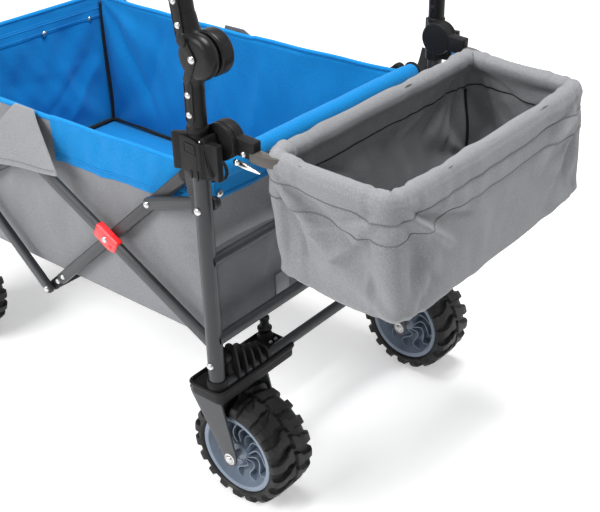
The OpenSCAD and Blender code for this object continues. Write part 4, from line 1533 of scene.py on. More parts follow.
    def flap(self, side: Side) -> None:
        """The grey triangular flap that hangs over the middle of a side's edge.

        Args:
            side: the side that it is on.
        """
        sign = float(side.value)
        top = AT.mid_x + np.array(self.flap_top)
        low = AT.mid_x + np.array(self.flap_low)
        z_top, z_low = self.z1 - 0.001, self.z0 + self.flap_drop
        rows = np.linspace(0.0, 1.0, 64)
        v = np.linspace(0.0, 1.0, 48)
        left = low[0] + (top[0] - low[0]) * v ** 1.15
        right = low[1] + (top[1] - low[1]) * v ** 1.1
        xs = left[None] + rows[:, None] * (right - left)[None]
        droop = 0.030 * rows[:, None] * (1 - v)[None]
        z = z_low + droop + v[None] * (z_top - z_low - droop)
        corner = 0.010 * (1 - soft_step(rows, 0.0, 0.10))[:, None] * (1 - v)[None] ** 6
        z = z + corner
        out = 0.0035 + 0.0385 * (1 - v[None]) ** 0.80 + 0.0018 * np.sin(
            TAU * (1.4 * rows[:, None] + 0.3 * v[None])) * (1 - v[None])
        hem = 0.0012 * (1 - soft_step(v, 0.10, 0.13))[None]
        outer = np.stack([xs, sign * (AT.tub_y + out + hem), z], axis=2)
        inner = np.stack([xs, sign * (AT.tub_y + out - 0.0018 + 0 * hem), z], axis=2)
        patches = [cloth_shell(outer, inner, 0, 0)]
        patches.append(thread_row(outer[:, 5], finish=1, out=(0.0, sign, 0.0)))
        piece = build(f"middle_flap_{side.word}", patches, [GREY, THREAD_GREY], CLOTH_TURN)
        fit(piece, "rear_frame", "grey_cloth")
        self.soft(piece)

    def end_wall(self, end: End) -> None:
        """An end wall: blue inside, grey outside, with folds at its corners. The rear one's outer
        face is darker low down: partly a darker cloth, partly painted shade.

        Args:
            end: the end that it closes.
        """
        x = self.x1 + self.wall / 2 if end is End.REAR else self.x0 - self.wall / 2
        node = f"tub_end_{end.word}"
        top_z = float(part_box(node)[1][2]) - 0.002
        y = np.linspace(-AT.tub_y + 0.0005, AT.tub_y - 0.0005, 150)
        v = np.linspace(0.0, 1.0, 60)
        ys = np.repeat(y[:, None], len(v), axis=1)
        u = (ys - y[0]) / (y[-1] - y[0])
        z = self.z0 + v[None] * (top_z - self.z0) + 0 * ys
        body = (np.sin(math.pi * v) ** 0.7)[None] * np.sin(math.pi * u) ** 0.4
        shape = body * ripple(u, v[None], [(0.0020, 2.2, 1.3, 0.3), (0.0012, 5.6, -2.4, 1.1),
                                           (0.0005, 11.0, 4.0, 0.2)])
        slack = (1 - soft_step(v, 0.50, 0.60))[None] * body
        shape = shape + 0.0018 * slack * np.sin(TAU * (2.1 * u + 2.6 * v[None]))
        for side in Side:
            near = AT.tub_y + side.value * ys
            shape = shape + 0.0030 * body * fan(near, z - self.z0, 0.08, 8.0, side.value)
            shape = shape + 0.0024 * body * fan(near, self.z1 - z, 0.10, 8.0, 1.0)
            for first, last, high in (((0.02, 0.13), (0.15, 0.28), 0.0035),
                                      ((0.05, 0.12), (0.24, 0.27), -0.0032),
                                      ((0.16, 0.03), (0.09, 0.24), 0.0028)):
                shape = shape + high * crease(near, self.z1 - z, first, last, 0.014)
        out = float(end.value)
        outer = np.stack([x + out * self.wall / 2 + shape, ys, z], axis=2)
        inner = np.stack([x - out * self.wall / 2 + shape, ys, z], axis=2)
        shell = cloth_shell(outer, inner)
        if end is End.REAR:
            # The lower 60 per cent of the rear wall's outer face takes the darker grey: partly a
            # darker cloth, partly painted shade.
            grid = shell.finish[:-2].reshape(len(y) - 1, -1)
            grid[:, :int(0.60 * len(v))] = 4
        patches = [shell]
        if end is End.FRONT:
            band = np.stack([inner[:, 50:56, 0] + 0.0016, ys[:, 50:56], z[:, 50:56]], axis=2)
            under = band - np.array([0.0014, 0, 0])
            patches.append(cloth_shell(band, under, 1, 1))
            for row in (1, 4):
                patches.append(thread_row(band[:, row], finish=2, out=(1.0, 0.0, 0.0)))
            for at in self.front_snaps:
                snap = np.array([x + 0.0055, at, self.z1 - 0.046])
                patches.append(rivet(snap, self.snap_r, 0.0028, "X", 1.0, 3))
        edge = np.stack([np.full(150, x), y, np.full(150, top_z) + shape[:, -1]], axis=1)
        patches.append(carry(ring(self.edge_r, 14), edge, finish=1))
        finishes = [TUB_GREY, BLUE, THREAD_BLUE, RIVET, DARK_CLOTH_AND_PAINTED_SHADE]
        piece = build(f"end_cloth_{end.word}", patches, finishes, CLOTH_TURN)
        fit(piece, f"{end.word}_frame", "blue_cloth", node)

    def floor(self) -> None:
        """The padded floor mat, quilted along its edge; its dark binding is drawn by the floor
        piping.
        """
        low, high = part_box("tub_floor")
        n = 120
        x = np.linspace(float(low[0]) + 0.0015, float(high[0]) - 0.0015, n)
        y = np.linspace(float(low[1]) + 0.0015, float(high[1]) - 0.0015, 90)
        u, w = np.meshgrid(np.linspace(0, 1, n), np.linspace(0, 1, 90), indexing="ij")
        edge = np.minimum(np.minimum(u, 1 - u) * 0.8, np.minimum(w, 1 - w) * 0.5) / 0.03
        crown = np.clip(edge, 0, 1) ** 0.5
        dimple = 0.0012 * np.exp(-((np.clip(edge, 0, 9) - 1.3) / 0.25) ** 2)
        top = float(high[2]) - 0.0075 + 0.007 * crown - dimple
        top = top + 0.0006 * crown * ripple(u, w, [(1.0, 3.0, 1.2, 0.0), (0.7, 6.1, 4.0, 1.0)])
        xs, ys = np.meshgrid(x, y, indexing="ij")
        upper = np.stack([xs, ys, top], axis=2)
        lower = np.stack([xs, ys, np.full_like(top, float(low[2]) + 0.0005)], axis=2)
        piece = build("floor_mat", [cloth_shell(upper, lower, 1, 0)], [TUB_GREY, BLUE], CLOTH_TURN)
        fit(piece, "rear_frame", "blue_cloth", "tub_floor")
        self.soft(piece)

    def piping(self) -> None:
        """Black cords down the inner corners and round the floor's edge."""
        z = self.z0 + 0.0155
        inside = AT.tub_y - self.wall - 0.004
        ends = (self.x0 + 0.004, self.x1 - 0.004)
        wobble = np.linspace(0.0, 1.0, 90)
        cords = []
        for sign in (-1.0, 1.0):
            x = np.linspace(ends[0], ends[1], 90)
            y = sign * (inside + 0.0012 * np.sin(TAU * 4.3 * wobble))
            cords.append(np.stack([x, y, z + 0.0012 * np.sin(TAU * 3.1 * wobble)], axis=1))
        patches = [carry(ring(0.0036, 12), c) for c in cords]
        piece = build("floor_piping", patches, [PIPING], CLOTH_TURN)
        fit(piece, "rear_frame", "blue_cloth")
        self.soft(piece)
        for end, x in zip((End.FRONT, End.REAR), ends):
            parts = []
            y = np.linspace(-inside, inside, 60)
            parts.append(np.stack([np.full(60, x), y, np.full(60, z)], axis=1))
            for sign in (-1.0, 1.0):
                up = np.linspace(z, self.z1 - 0.014, 50)
                bow = x + 0.0022 * np.sin(TAU * 2.3 * wobble[:50]) * -end.value
                parts.append(np.stack([bow, np.full(50, sign * inside), up], axis=1))
            patches = [carry(ring(0.0038, 12), c) for c in parts]
            piece = build(f"corner_piping_{end.word}", patches, [PIPING], CLOTH_TURN)
            fit(piece, f"{end.word}_frame", "blue_cloth")

    def roll(self) -> None:
        """The padded roll over the rear edge, with black piping at its ends."""
        low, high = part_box("rear_edge_roll")
        centre = np.array([(low[0] + high[0]) / 2, 0.0, (low[2] + high[2]) / 2])
        half, r = float(high[1]), float(high[2] - low[2]) / 2
        y = np.linspace(-half + 0.003, half - 0.003, 120)
        angle = np.linspace(0, TAU, 49)
        u = (y + half) / (2 * half)
        size = r * (1 - 0.16 * np.abs(2 * u - 1) ** 12) * (
            1 + 0.012 * np.sin(TAU * 3 * u) + 0.010 * np.sin(TAU * 7.7 * u + 1))
        pucker = 1 + 0.02 * np.exp(-(1 - np.abs(2 * u - 1)) / 0.05)[:, None] * np.cos(11 * angle)
        radius = size[:, None] * pucker
        points = np.stack([centre[0] + radius * np.cos(angle), np.repeat(y[:, None], 49, 1),
                           centre[2] + radius * np.sin(angle)], axis=2)
        patches = [surface(points, caps=True)]
        for sign in (-1.0, 1.0):
            loop = ring(0.93 * r, 40)
            path = np.stack([centre[0] + loop[:, 0], np.full(len(loop), sign * (half - 0.005)),
                             centre[2] + loop[:, 1]], axis=1)
            patches.append(carry(ring(0.0026, 10), path, up=(0.0, 1.0, 0.0), finish=1))
        piece = build("rear_roll", patches, [BLUE, PIPING], CLOTH_TURN)
        fit(piece, "rear_frame", "blue_cloth", "rear_edge_roll")

    def rear_flap(self) -> None:
        """The blue flap below the roll, outside the rear wall, with its snaps."""
        y = np.linspace(-AT.tub_y + 0.001, AT.tub_y - 0.001, 140)
        v = np.linspace(0.0, 1.0, 26)
        ys = np.repeat(y[:, None], len(v), axis=1)
        u = (ys - y[0]) / (y[-1] - y[0])
        low = self.z0 + 0.244 + 0.005 * np.abs(2 * u - 1) + 0.0012 * np.sin(TAU * 4.2 * u)
        z = low + v[None] * (self.z1 - 0.018 - low)
        out = 0.0024 + 0.0012 * np.sin(TAU * (3.3 * u + 0.4 * v[None])) * (1 - v[None])
        x = self.x1 + self.wall
        outer = np.stack([x + out + 0.0028 * v[None] ** 3, ys, z], axis=2)
        inner = np.stack([x + out - 0.0018, ys, z], axis=2)
        patches = [cloth_shell(outer, inner, 0, 0),
                   thread_row(outer[:, 3], finish=1, out=(1.0, 0.0, 0.0)),
                   thread_row(outer[:, 5], finish=1, out=(1.0, 0.0, 0.0))]
        for at in self.rear_snaps:
            snap = np.array([x + 0.0040, at, self.z0 + 0.259])
            patches.append(rivet(snap, 0.0065, 0.0030, "X", 1.0, 2))
        tab = rounded([(-0.122, self.z0 + 0.012), (-0.090, self.z0 + 0.012),
                       (-0.090, self.z0 + 0.066), (-0.122, self.z0 + 0.066)], 0.003)
        patches.append(plate(tab, x + 0.0015, x + 0.0042, 0.001, "X", 3))
        piece = build("rear_flap", patches, [BLUE, THREAD_BLUE, RIVET, GREY], CLOTH_TURN)
        fit(piece, "rear_frame", "blue_cloth")

    def make(self) -> None:
        """Builds the whole tub."""
        for side in Side:
            self.side(side)
            self.band(side)
            self.flap(side)
        for end in End:
            self.end_wall(end)
        self.floor()
        self.piping()
        self.roll()
        self.rear_flap()


# ---------------------------------------------------------------- handle mounts


@dataclass
class HandleMount:
    """What stands on each rear post: bracket, stub, drum housing and basket knuckle."""

    plate_out: float = 0.0177
    bracket_h: float = 0.055
    web_in: float = 0.2770
    tube_r: float = 0.0136
    neck_r: float = 0.0138

    def __post_init__(self) -> None:
        """Reads the drum's and the knuckle's centres and places the rear post."""
        self.drum = pivot("push_handle_fold")
        self.knuckle = pivot("basket_fold")
        self.post = np.array([AT.rear_x, -AT.post_y, 0.0])

    def bracket(self) -> None:
        """The corner bracket: a ring round the post, a plate with a raised edge, a collar."""
        z0 = float(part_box("corner_brackets")[0][2])
        z1 = z0 + self.bracket_h
        r = AT.post_r
        rise = 0.006
        body = rounded([(AT.rear_x - 0.030, z0 + rise + 0.002), (AT.rear_x - 0.006, z0 + rise),
                        (AT.rear_x - 0.001, z0 + 0.001), (AT.rear_x + 0.0125, z0 + 0.001),
                        (AT.rear_x + 0.0125, z1 + 0.001), (AT.rear_x + 0.001, z1 + rise - 0.002),
                        (AT.rear_x - 0.030, z1 + rise)], 0.0020, 5)
        y = -AT.post_y
        patches = [plate(body, y - self.plate_out, y - self.plate_out + 0.005, 0.0016,
                         steps=5)]
        wing = rounded([(AT.rear_x - 0.0270, y - self.plate_out - 0.0032),
                        (AT.rear_x - 0.0310, y - self.plate_out - 0.0032),
                        (AT.rear_x - 0.0310, y - self.plate_out + 0.0040),
                        (AT.rear_x - 0.0150, y - 0.002), (AT.rear_x - 0.004, y - 0.012),
                        (AT.rear_x - 0.016, y - self.plate_out + 0.0010)], 0.0018)
        patches.append(plate(wing, z0 + rise + 0.002, z1 + rise + 0.001, 0.0012, "Z"))
        slot = rounded([(AT.rear_x - 0.010, z1 - 0.017), (AT.rear_x + 0.009, z1 - 0.020),
                        (AT.rear_x + 0.009, z1 - 0.006), (AT.rear_x - 0.010, z1 - 0.004)],
                       0.0015)
        face = y - self.plate_out
        lip = np.stack([slot[:, 0], np.full(len(slot), face), slot[:, 1]], axis=1)
        patches.append(carry(ring(0.0013, 8), lip, up=(0.0, 1.0, 0.0)))
        patches.append(plate(slot, face - 0.0006, face + 0.002, 0.0004))
        sleeve = [(z0, 0.0), (z0, r + 0.0036), (z0 + 0.002, r + 0.0042), (z1 - 0.002, r + 0.0042),
                  (z1, r + 0.0030), (z1 + 0.003, r + 0.0012), (z1 + 0.007, r + 0.0008),
                  (z1 + 0.009, r + 0.0022), (z1 + 0.0145, r + 0.0028), (z1 + 0.0165, r + 0.002),
                  (z1 + 0.018, r + 0.0004), (z1 + 0.018, 0.0)]
        patches.append(lathe(sleeve, self.post, "Z"))
        web = rounded([(AT.rear_x, z0 + 0.004), (AT.rear_x + 0.034, z0 + 0.004),
                       (self.knuckle[0] + 0.004, self.knuckle[2] - 0.020),
                       (self.knuckle[0] - 0.002, self.knuckle[2] + 0.016),
                       (AT.rear_x, z1 - 0.004)], 0.006)
        patches.append(plate(web, y - 0.0125, -self.web_in, 0.004, steps=5))
        flange = rounded([(AT.rear_x + 0.008, y - self.plate_out + 0.0005),
                          (AT.rear_x + 0.0165, y - self.plate_out + 0.0005),
                          (AT.rear_x + 0.022, y - 0.012), (AT.rear_x + 0.033, y - 0.0085),
                          (AT.rear_x + 0.043, y - 0.010), (AT.rear_x + 0.043, y + 0.001),
                          (AT.rear_x + 0.008, y + 0.001)], 0.0022)
        patches.append(plate(flange, z0 + 0.001, z1 - 0.001, 0.0012, "Z"))
        for x, drop in ((-0.002, 0.0), (0.009, 0.002)):
            tab = rounded([(AT.rear_x + x, z0 - drop), (AT.rear_x + x + 0.0035, z0 - drop),
                           (AT.rear_x + x + 0.0035, z0 + 0.012), (AT.rear_x + x, z0 + 0.012)],
                          0.0009)
            patches.append(plate(tab, face - 0.0010, face + 0.001, 0.0005))
        screw = np.array([AT.rear_x + 0.0135, y - 0.009, z1 - 0.001])
        patches.append(rivet(screw, 0.0042, 0.003, "Z", 1.0, 2))
        piece = build("bracket_mouldings", both_sides(patches), [BLACK, FRAME_GREY, RIVET])
        fit(piece, "rear_frame", "black_plastic", "corner_brackets")

    def stub(self) -> None:
        """The stub tube above the bracket, with an outer strap plate, rivets and plugs."""
        low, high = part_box("handle_stubs")
        z0, z1 = float(low[2]), float(high[2])
        r = self.tube_r
        tube = [(z0 - 0.004, 0.0), (z0 - 0.004, r), (z1 + 0.006, r), (z1 + 0.006, 0.0)]
        patches = [lathe(tube, self.post, "Z", 0, 44)]
        y = -AT.post_y - 0.0125
        p = np.array([AT.rear_x, z0 + 0.012])
        q = np.array([AT.rear_x + 0.001, z1 + 0.002])
        oval = stadium(p, q, 0.0135)
        rim = np.stack([oval[:, 0], np.full(len(oval), y - 0.0003), oval[:, 1]], axis=1)
        patches.append(carry(ring(0.0011, 8), rim, up=(0.0, 1.0, 0.0)))
        patches.append(plate(oval, y - 0.0006, y + 0.003, 0.0004))
        for z in (z0 + 0.017, z0 + 0.045):
            patches.append(rivet(np.array([AT.rear_x, y - 0.0006, z]), 0.0052, 0.003,
                                 finish=1))
            patches.append(rivet(np.array([AT.rear_x, -AT.post_y + 0.0125, z]), 0.0062, 0.0026,
                                 out=1.0, finish=2))
        piece = build("stub_tubes", both_sides(patches), [HANDLE_BLACK, RIVET, BLACK])
        fit(piece, "rear_frame", "handle_black", "handle_stubs")

    def drums(self) -> None:
        """The fixed half of each folding drum, with its arm down to the stub."""
        low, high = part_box("drum_housings")
        outer = -float(low[1])
        r = (float(high[0]) - self.drum[0])
        top = float(low[2])
        patches = [drum(self.drum, -outer, -outer + 0.0235, r, 0.011)]
        seam = [(-outer + 0.0235, 0.0), (-outer + 0.0235, r - 0.0018),
                (-outer + 0.0262, r - 0.0018), (-outer + 0.0262, 0.0)]
        patches.append(lathe(seam, self.drum, steps=56))
        neck = np.array([[AT.rear_x, -AT.post_y, top - 0.012],
                         [AT.rear_x + 0.001, -AT.post_y, top + 0.006],
                         [self.drum[0] - 0.014, -AT.post_y - 0.001, self.drum[2] - 0.014],
                         [self.drum[0] - 0.004, -AT.post_y - 0.003, self.drum[2]]])
        girth = np.linspace(1.0, 1.06, 31)
        patches.append(carry(ring(self.neck_r, 36), smooth_path(neck.tolist(), 10), up=(0, 1, 0),
                             size=girth))
        face = -outer - 0.0012
        centre = side_view(self.drum)
        patches.append(plate(stadium(centre, centre + np.array([-0.013, -0.030]), 0.0125),
                             face, face + 0.003, 0.0006))
        patches.append(plate(stadium(centre, centre + np.array([-0.015, 0.023]), 0.0125),
                             face - 0.0010, face + 0.003, 0.0006))
        tab = rounded([(-0.024, 0.018), (-0.012, 0.012), (-0.006, 0.022), (-0.010, 0.033),
                       (-0.019, 0.032)], 0.005) + centre
        patches.append(plate(tab, face - 0.0030, face + 0.002, 0.0012))
        patches.append(rivet(self.drum * np.array([1, 0, 1]) + np.array([0, face - 0.001, 0]),
                             0.0056, 0.0028, finish=1))
        piece = build("drum_shells", both_sides(patches), [HANDLE_BLACK, RIVET])
        fit(piece, "rear_frame", "handle_black", "drum_housings")

    def knuckles(self) -> None:
        """The fixed discs of the basket's knuckles."""
        low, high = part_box("basket_knuckles")
        r = float(high[2]) - self.knuckle[2]
        y = float(low[1])
        patches = [drum(self.knuckle, y, y + 0.0072, r, 0.0018)]
        groove = [(y + 0.0070, 0.0), (y + 0.0070, r - 0.0020), (y + 0.0084, r - 0.0020),
                  (y + 0.0084, 0.0)]
        patches.append(lathe(groove, self.knuckle, finish=1))
        piece = build("knuckle_discs", both_sides(patches), [BLACK, RIVET])
        fit(piece, "rear_frame", "black_plastic", "basket_knuckles")

    def strap(self) -> None:
        """The webbing strap from each bracket down behind the link."""
        z0 = float(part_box("corner_brackets")[0][2])
        y = -AT.post_y - 0.004
        knots = [[AT.rear_x - 0.017, y, z0 + 0.010], [AT.rear_x - 0.0195, y + 0.003, z0 - 0.008],
                 [AT.rear_x - 0.023, y + 0.008, z0 - 0.032],
                 [AT.rear_x - 0.022, y + 0.013, z0 - 0.060],
                 [AT.rear_x - 0.026, y + 0.016, z0 - 0.080]]
        path = smooth_path(knots, 14)
        flat = rounded([(-0.0125, -0.0007), (0.0125, -0.0007), (0.0125, 0.0007),
                        (-0.0125, 0.0007)], 0.0006, 2)
        patches = [carry(flat, path, up=(0.0, 1.0, 0.0))]
        piece = build("link_straps", both_sides(patches), [STRAP, THREAD_GREY])
        fit(piece, "rear_frame", "black_plastic")

    def make(self) -> None:
        """Builds the mounts."""
        self.bracket()
        self.stub()
        self.drums()
        self.knuckles()
        self.strap()


# ---------------------------------------------------------------- push handle


@dataclass
class PushHandle:
    """The push bar with its foam grip, drum rotors and hooked straps."""

    tube_r: float = 0.014
    lean: float = math.radians(9.0)
    bar_from: float = 0.045
    bar_top: float = 0.242
    bend: float = 0.060
    rotor_out: float = 0.2915
    rotor_in: float = 0.2690
    strap_from: float = 0.026
    strap_to: float = 0.130
    rivets_at: tuple = (0.040, 0.071, 0.102)

    def __post_init__(self) -> None:
        """Reads the drum's centre and the bar's own axes."""
        self.drum = pivot("push_handle_fold")
        self.along = np.array([-math.sin(self.lean), 0.0, math.cos(self.lean)])
        self.back = np.array([math.cos(self.lean), 0.0, math.sin(self.lean)])

    def at(self, along: float, y: float, back: float = -0.027) -> list:
        """A point of the leaning frame about the drum.

        Args:
            along: distance up the leaning bar.
            y: the point's Y.
            back: distance to the rear, square to the bar.

        Returns:
            The point's X, Y and Z.
        """
        base = self.drum * np.array([1, 0, 1])
        return list(base + along * self.along + back * self.back + np.array([0, y, 0]))

    def make(self) -> None:
        """Builds the bar, the grip, the rotors and the straps."""
        reach, top, bend = AT.post_y, self.bar_top, self.bend
        turn = np.linspace(0.0, math.pi / 2, 17)
        left = [self.at(self.bar_from, -reach), self.at(top - bend, -reach)]
        corner = [self.at(top - bend + bend * math.sin(a), -reach + bend * (1 - math.cos(a)))
                  for a in turn[1:]]
        half = np.array(left + corner)
        path = np.concatenate([half, half[::-1] * np.array([1, -1, 1])])
        bar = build("push_tube", [carry(ring(self.tube_r, 36), path, up=tuple(self.back))],
                    [HANDLE_BLACK])
        fit(bar, "push_handle", "handle_black", "push_bar")
        length = float(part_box("push_grip")[1][1])
        y = np.linspace(-length, length, 90)
        u = np.abs(y) / length
        r = 0.0177 * np.clip((1 - u ** 60), 0.82, 1) * (1 + 0.006 * np.sin(60 * u))
        centre = np.array(self.at(top, 0.0))
        grip = lathe(np.concatenate([[[-length, 0.0]], np.stack([y, r], axis=1),
                                     [[length, 0.0]]]), centre, steps=44)
        sleeve = build("foam_sleeve", [grip], [FOAM], MOULD_TURN)
        fit(sleeve, "push_handle", "foam_grip", "push_grip")
        self.rotors()

    def rotors(self) -> None:
        """The turning half of each drum, its arm up to the bar, the strap and its rivets."""
        r = float(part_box("drum_rotors")[1][0]) - self.drum[0]
        patches = [drum(self.drum, -self.rotor_out, -self.rotor_in, r, 0.004)]
        shroud = [self.drum * np.array([1, 0, 1]) + np.array([-0.006, -AT.post_y, 0.006]),
                  self.at(0.026, -AT.post_y, -0.022), self.at(0.050, -AT.post_y)]
        patches.append(carry(ring(0.0148, 36), smooth_path(shroud, 10), up=(0, 1, 0)))
        strap_y = -AT.post_y - self.tube_r
        p, q = (side_view(self.at(along, 0.0)) for along in (self.strap_from, self.strap_to))
        patches.append(plate(stadium(p, q, 0.0135), strap_y - 0.0014, strap_y + 0.002, 0.0008))
        rim = stadium(p, q, 0.0140)
        lip = np.stack([rim[:, 0], np.full(len(rim), strap_y - 0.0008), rim[:, 1]], axis=1)
        patches.append(carry(ring(0.0011, 8), lip, up=(0.0, 1.0, 0.0)))
        for along in self.rivets_at:
            at = np.array(self.at(along, strap_y - 0.0012))
            patches.append(rivet(at, 0.0052, 0.003, finish=1))
            cap = np.array(self.at(along, -AT.post_y + self.tube_r - 0.0012))
            patches.append(rivet(cap, 0.0064, 0.003, out=1.0, finish=2))
        piece = build("drum_caps", both_sides(patches), [HANDLE_BLACK, RIVET, BLACK])
        fit(piece, "push_handle", "handle_black", "drum_rotors")


# ---------------------------------------------------------------- basket


@dataclass
class Basket:
    """The rear basket: a square tube frame, a sagging canvas bag, knuckles and levers."""

    tilt: float = math.radians(3.0)
    tube: float = 0.016
    sag: float = 0.006
    mid_x: float = 0.617
    half_x: float = 0.098
    half_y: float = 0.247
    rim_z: float = 0.633
    roll_r: float = 0.0125
    height: float = 0.176
    shift: float = 0.025
    cloth: float = 0.0024
    corner: float = 0.055
    rows: tuple = (0.14, 0.285)
    arm_y: float = 0.2602
    frame_corner: float = 0.020
    knuckle_r: float = 0.027
    knuckle_y: tuple = (-0.2686, -0.2510)
    socket_y: tuple = (-0.2680, -0.2520)
    socket_x: tuple = (0.006, 0.0555)
    blank: tuple = (0.62, 0.92)
    lever_dip: float = math.radians(7.0)
    lever_t: float = 0.0028

    def __post_init__(self) -> None:
        """Reads the knuckle's centre, which the basket leans about."""
        self.knuckle = pivot("basket_fold") * np.array([1, 0, 1])

    def lean(self, points: Array) -> Array:
        """Points given upright, in the tub's middle frame, tilted about the knuckle.

        Args:
            points: array (..., 3), with X from halfway between the posts.

        Returns:
            The points in the wagon's frame, turned by the tilt about Y.
        """
        at = points + np.array([AT.mid_x, 0.0, 0.0]) - self.knuckle
        c, s = math.cos(self.tilt), math.sin(self.tilt)
        out = np.stack([c * at[..., 0] + s * at[..., 2], at[..., 1],
                        -s * at[..., 0] + c * at[..., 2]], axis=-1)
        return out + self.knuckle

    def square_bar(self, knots: list) -> Patch:
        """A square tube with soft edges along a path given upright."""
        half = self.tube / 2
        shape = rounded([(-half, -half), (half, -half), (half, half), (-half, half)], 0.0028, 3)
        return carry(shape, self.lean(np.array(knots)))

    def frame(self) -> None:
        """The side arms, which step inwards into the loop that the bag hangs from."""
        z, y_arm, y_end = self.rim_z, self.arm_y, self.half_y
        corner = self.frame_corner
        turn = np.linspace(0, math.pi / 2, 9)
        x_end = self.mid_x + self.half_x
        arc = [[x_end - corner + corner * math.sin(a), y_end - corner + corner * math.cos(a), z]
               for a in turn]
        run = [[0.497, y_arm, z], [0.519, y_arm, z], [0.531, y_arm - 0.004, z],
               [0.545, y_end, z], *arc]
        loop = run + [[p[0], -p[1], p[2]] for p in run[::-1]]
        x_front = self.mid_x - self.half_x
        cross = self.square_bar([[x_front, -y_end, z], [x_front, y_end, z]])
        piece = build("basket_tubes", [self.square_bar(loop), cross], [ARM_BRONZE])
        fit(piece, "basket", "frame_grey", "basket_frame")

    def hang(self, s: Array, depth: Array) -> Array:
        """How far the bag's wall stands out from its flat plane, in metres.

        Args:
            s: share of the way round, as a row.
            depth: share of the way down, as a column.

        Returns:
            A grid: a broad belly between the corners, long creases that fan out from the
            rim's corners, small puckers below the hem, and a few slack folds lower down.
        """
        girth = 4 * (self.half_x + self.half_y)
        down = depth * self.height
        middle = np.sin(math.pi * np.clip(depth, 0, 1)) ** 0.75
        out = 0.0035 * middle * (1 - self.nearness(s)) + middle * ripple(
            s, depth, [(0.0013, 6.0, 0.8, 0.2), (0.0009, 13.0, -1.4, 1.0),
                       (0.0004, 29.0, 2.2, 0.4)])
        for number, corner in enumerate(self.corners()):
            along = ((s - corner + 0.5) % 1.0 - 0.5) * girth
            out = out + 0.0046 * middle * fan(along, down, 0.055, 9.0, 0.8 * number)
            out = out + 0.0040 * middle * fan(along, self.height - down, 0.045, 8.0, number)
            for sign, reach, high in ((1.0, 0.13, 0.0095), (-1.0, 0.11, 0.0090),
                                      (1.0, 0.07, -0.0080), (-1.0, 0.17, 0.0070),
                                      (1.0, 0.19, -0.0045), (-1.0, 0.05, 0.0060)):
                start = (sign * 0.010, 0.020)
                end = (sign * reach, 0.020 + 0.155 - 0.5 * reach)
                out = out + high * crease(along, down, start, end, 0.008)
        puckers = np.exp(-((down - 0.034) / 0.010) ** 2)
        return out + 0.0007 * puckers * np.sin(TAU * 34.0 * s + 2.0 * np.sin(TAU * 5.0 * s))

    def corners(self) -> list:
        """Shares of the way round at which the outline's corners are.

        Returns:
            Four shares from 0 to 1, one for each quarter of the outline.
        """
        outline = self.outline(np.linspace(0, 1, 721)[:-1], self.corner)
        score = np.abs(outline).min(axis=1)
        quarter = [(np.sign(outline[:, 0]) == a) & (np.sign(outline[:, 1]) == b)
                   for a, b in ((-1, -1), (1, -1), (1, 1), (-1, 1))]
        return [float(np.argmax(np.where(q, score, -1)) / 720) for q in quarter]

    def nearness(self, s: Array) -> Array:
        """1 at the outline's corners, falling to 0 along its sides."""
        away = np.min([np.abs((s - c + 0.5) % 1.0 - 0.5) for c in self.corners()], axis=0)
        return np.exp(-(away / 0.035) ** 2)

    def wall_rings(self, s: Array, offset: Array, z: Array, depth: Array) -> Array:
        """Rings of the bag: the outline pushed out by an offset, and shifted back with depth.

        Args:
            s: shares of the way round, from 0 to 1.
            offset: how far each point stands out from the outline, along its normal.
            z: each point's height.
            depth: share of the way down, which sets the shift.

        Returns:
            Array (rings, points + 1, 3), each ring closed.
        """
        line = self.outline(s, self.corner) * np.array([self.half_x, self.half_y])
        run = np.roll(line, -1, axis=0) - np.roll(line, 1, axis=0)
        normal = np.stack([run[:, 1], -run[:, 0]], axis=1)
        normal /= np.linalg.norm(normal, axis=1, keepdims=True)
        x = self.mid_x + line[:, 0] + offset * normal[:, 0] + self.shift * depth
        y = line[:, 1] + offset * normal[:, 1]
        points = np.stack([x, y, z + 0 * x], axis=2)
        return np.concatenate([points, points[:, :1]], axis=1)

    def bag(self) -> None:
        """The canvas bag: each section runs from the inner floor up the inner wall, over the
        tube in a loose roll, down the outer wall and under the floor.
        """
        s = np.linspace(0, 1, 361)[:-1][None]
        near = self.nearness(s)
        sag = self.sag * (1 - near) * (0.7 + 0.3 * np.sin(TAU * 3.0 * s + 0.8))
        roll = self.roll_r + 0.0012 * np.sin(TAU * 11.0 * s) * (1 - near) + 0.0016 * near
        roll = roll + (0.0013 * np.sin(TAU * 47.0 * s) + 0.0009 * np.sin(TAU * 83.0 * s)) * near
        roll = roll + 0.0006 * np.sin(TAU * 23.0 * s + 3.0 * np.sin(TAU * 4.0 * s))
        centre = self.rim_z - 0.35 * sag
        angle = np.linspace(math.pi, 0.0, 19)[:, None]
        over = self.wall_rings(s[0], roll * np.cos(angle), centre + roll * np.sin(angle), 0.0)
        v = np.linspace(0.0, 1.0, 66)[:, None]
        z = centre - v * (self.height - 0.006 * near * v)
        belly = self.hang(s, v)
        groove = 0.0009 * np.exp(-((v - self.rows[0]) / 0.010) ** 2)
        groove = groove + 0.0007 * np.exp(-((v - self.rows[1]) / 0.008) ** 2)
        hem = 0.0014 * (1 - soft_step(v, self.rows[1], self.rows[1] + 0.015))
        tuck = 0.006 * soft_step(v, 0.93, 1.0) ** 2
        out = roll - 0.0030 * soft_step(v, 0.0, self.rows[0]) + belly + hem - groove - tuck
        outer = self.wall_rings(s[0], out, z, v)
        join = soft_step(v, 0.02, self.rows[0] + 0.02)
        inner_hem = 0.0030 * (1 - soft_step(v, 0.270, 0.285))
        inside = (1 - join) * -roll + join * (out - hem - self.cloth - inner_hem)
        inner = self.wall_rings(s[0], inside, z + self.cloth * soft_step(v, 0.9, 1.0), v)
        shrink = np.linspace(1.0, 0.0, 22)[1:, None, None]
        middle = np.array([self.mid_x + self.shift, 0.0, 0.0])
        flat = np.array([1.0, 1.0, 0.0])
        drop = np.array([0.0, 0.0, 1.0]) * (outer[-1, :, 2:] - 0.004 * (1 - shrink ** 2))
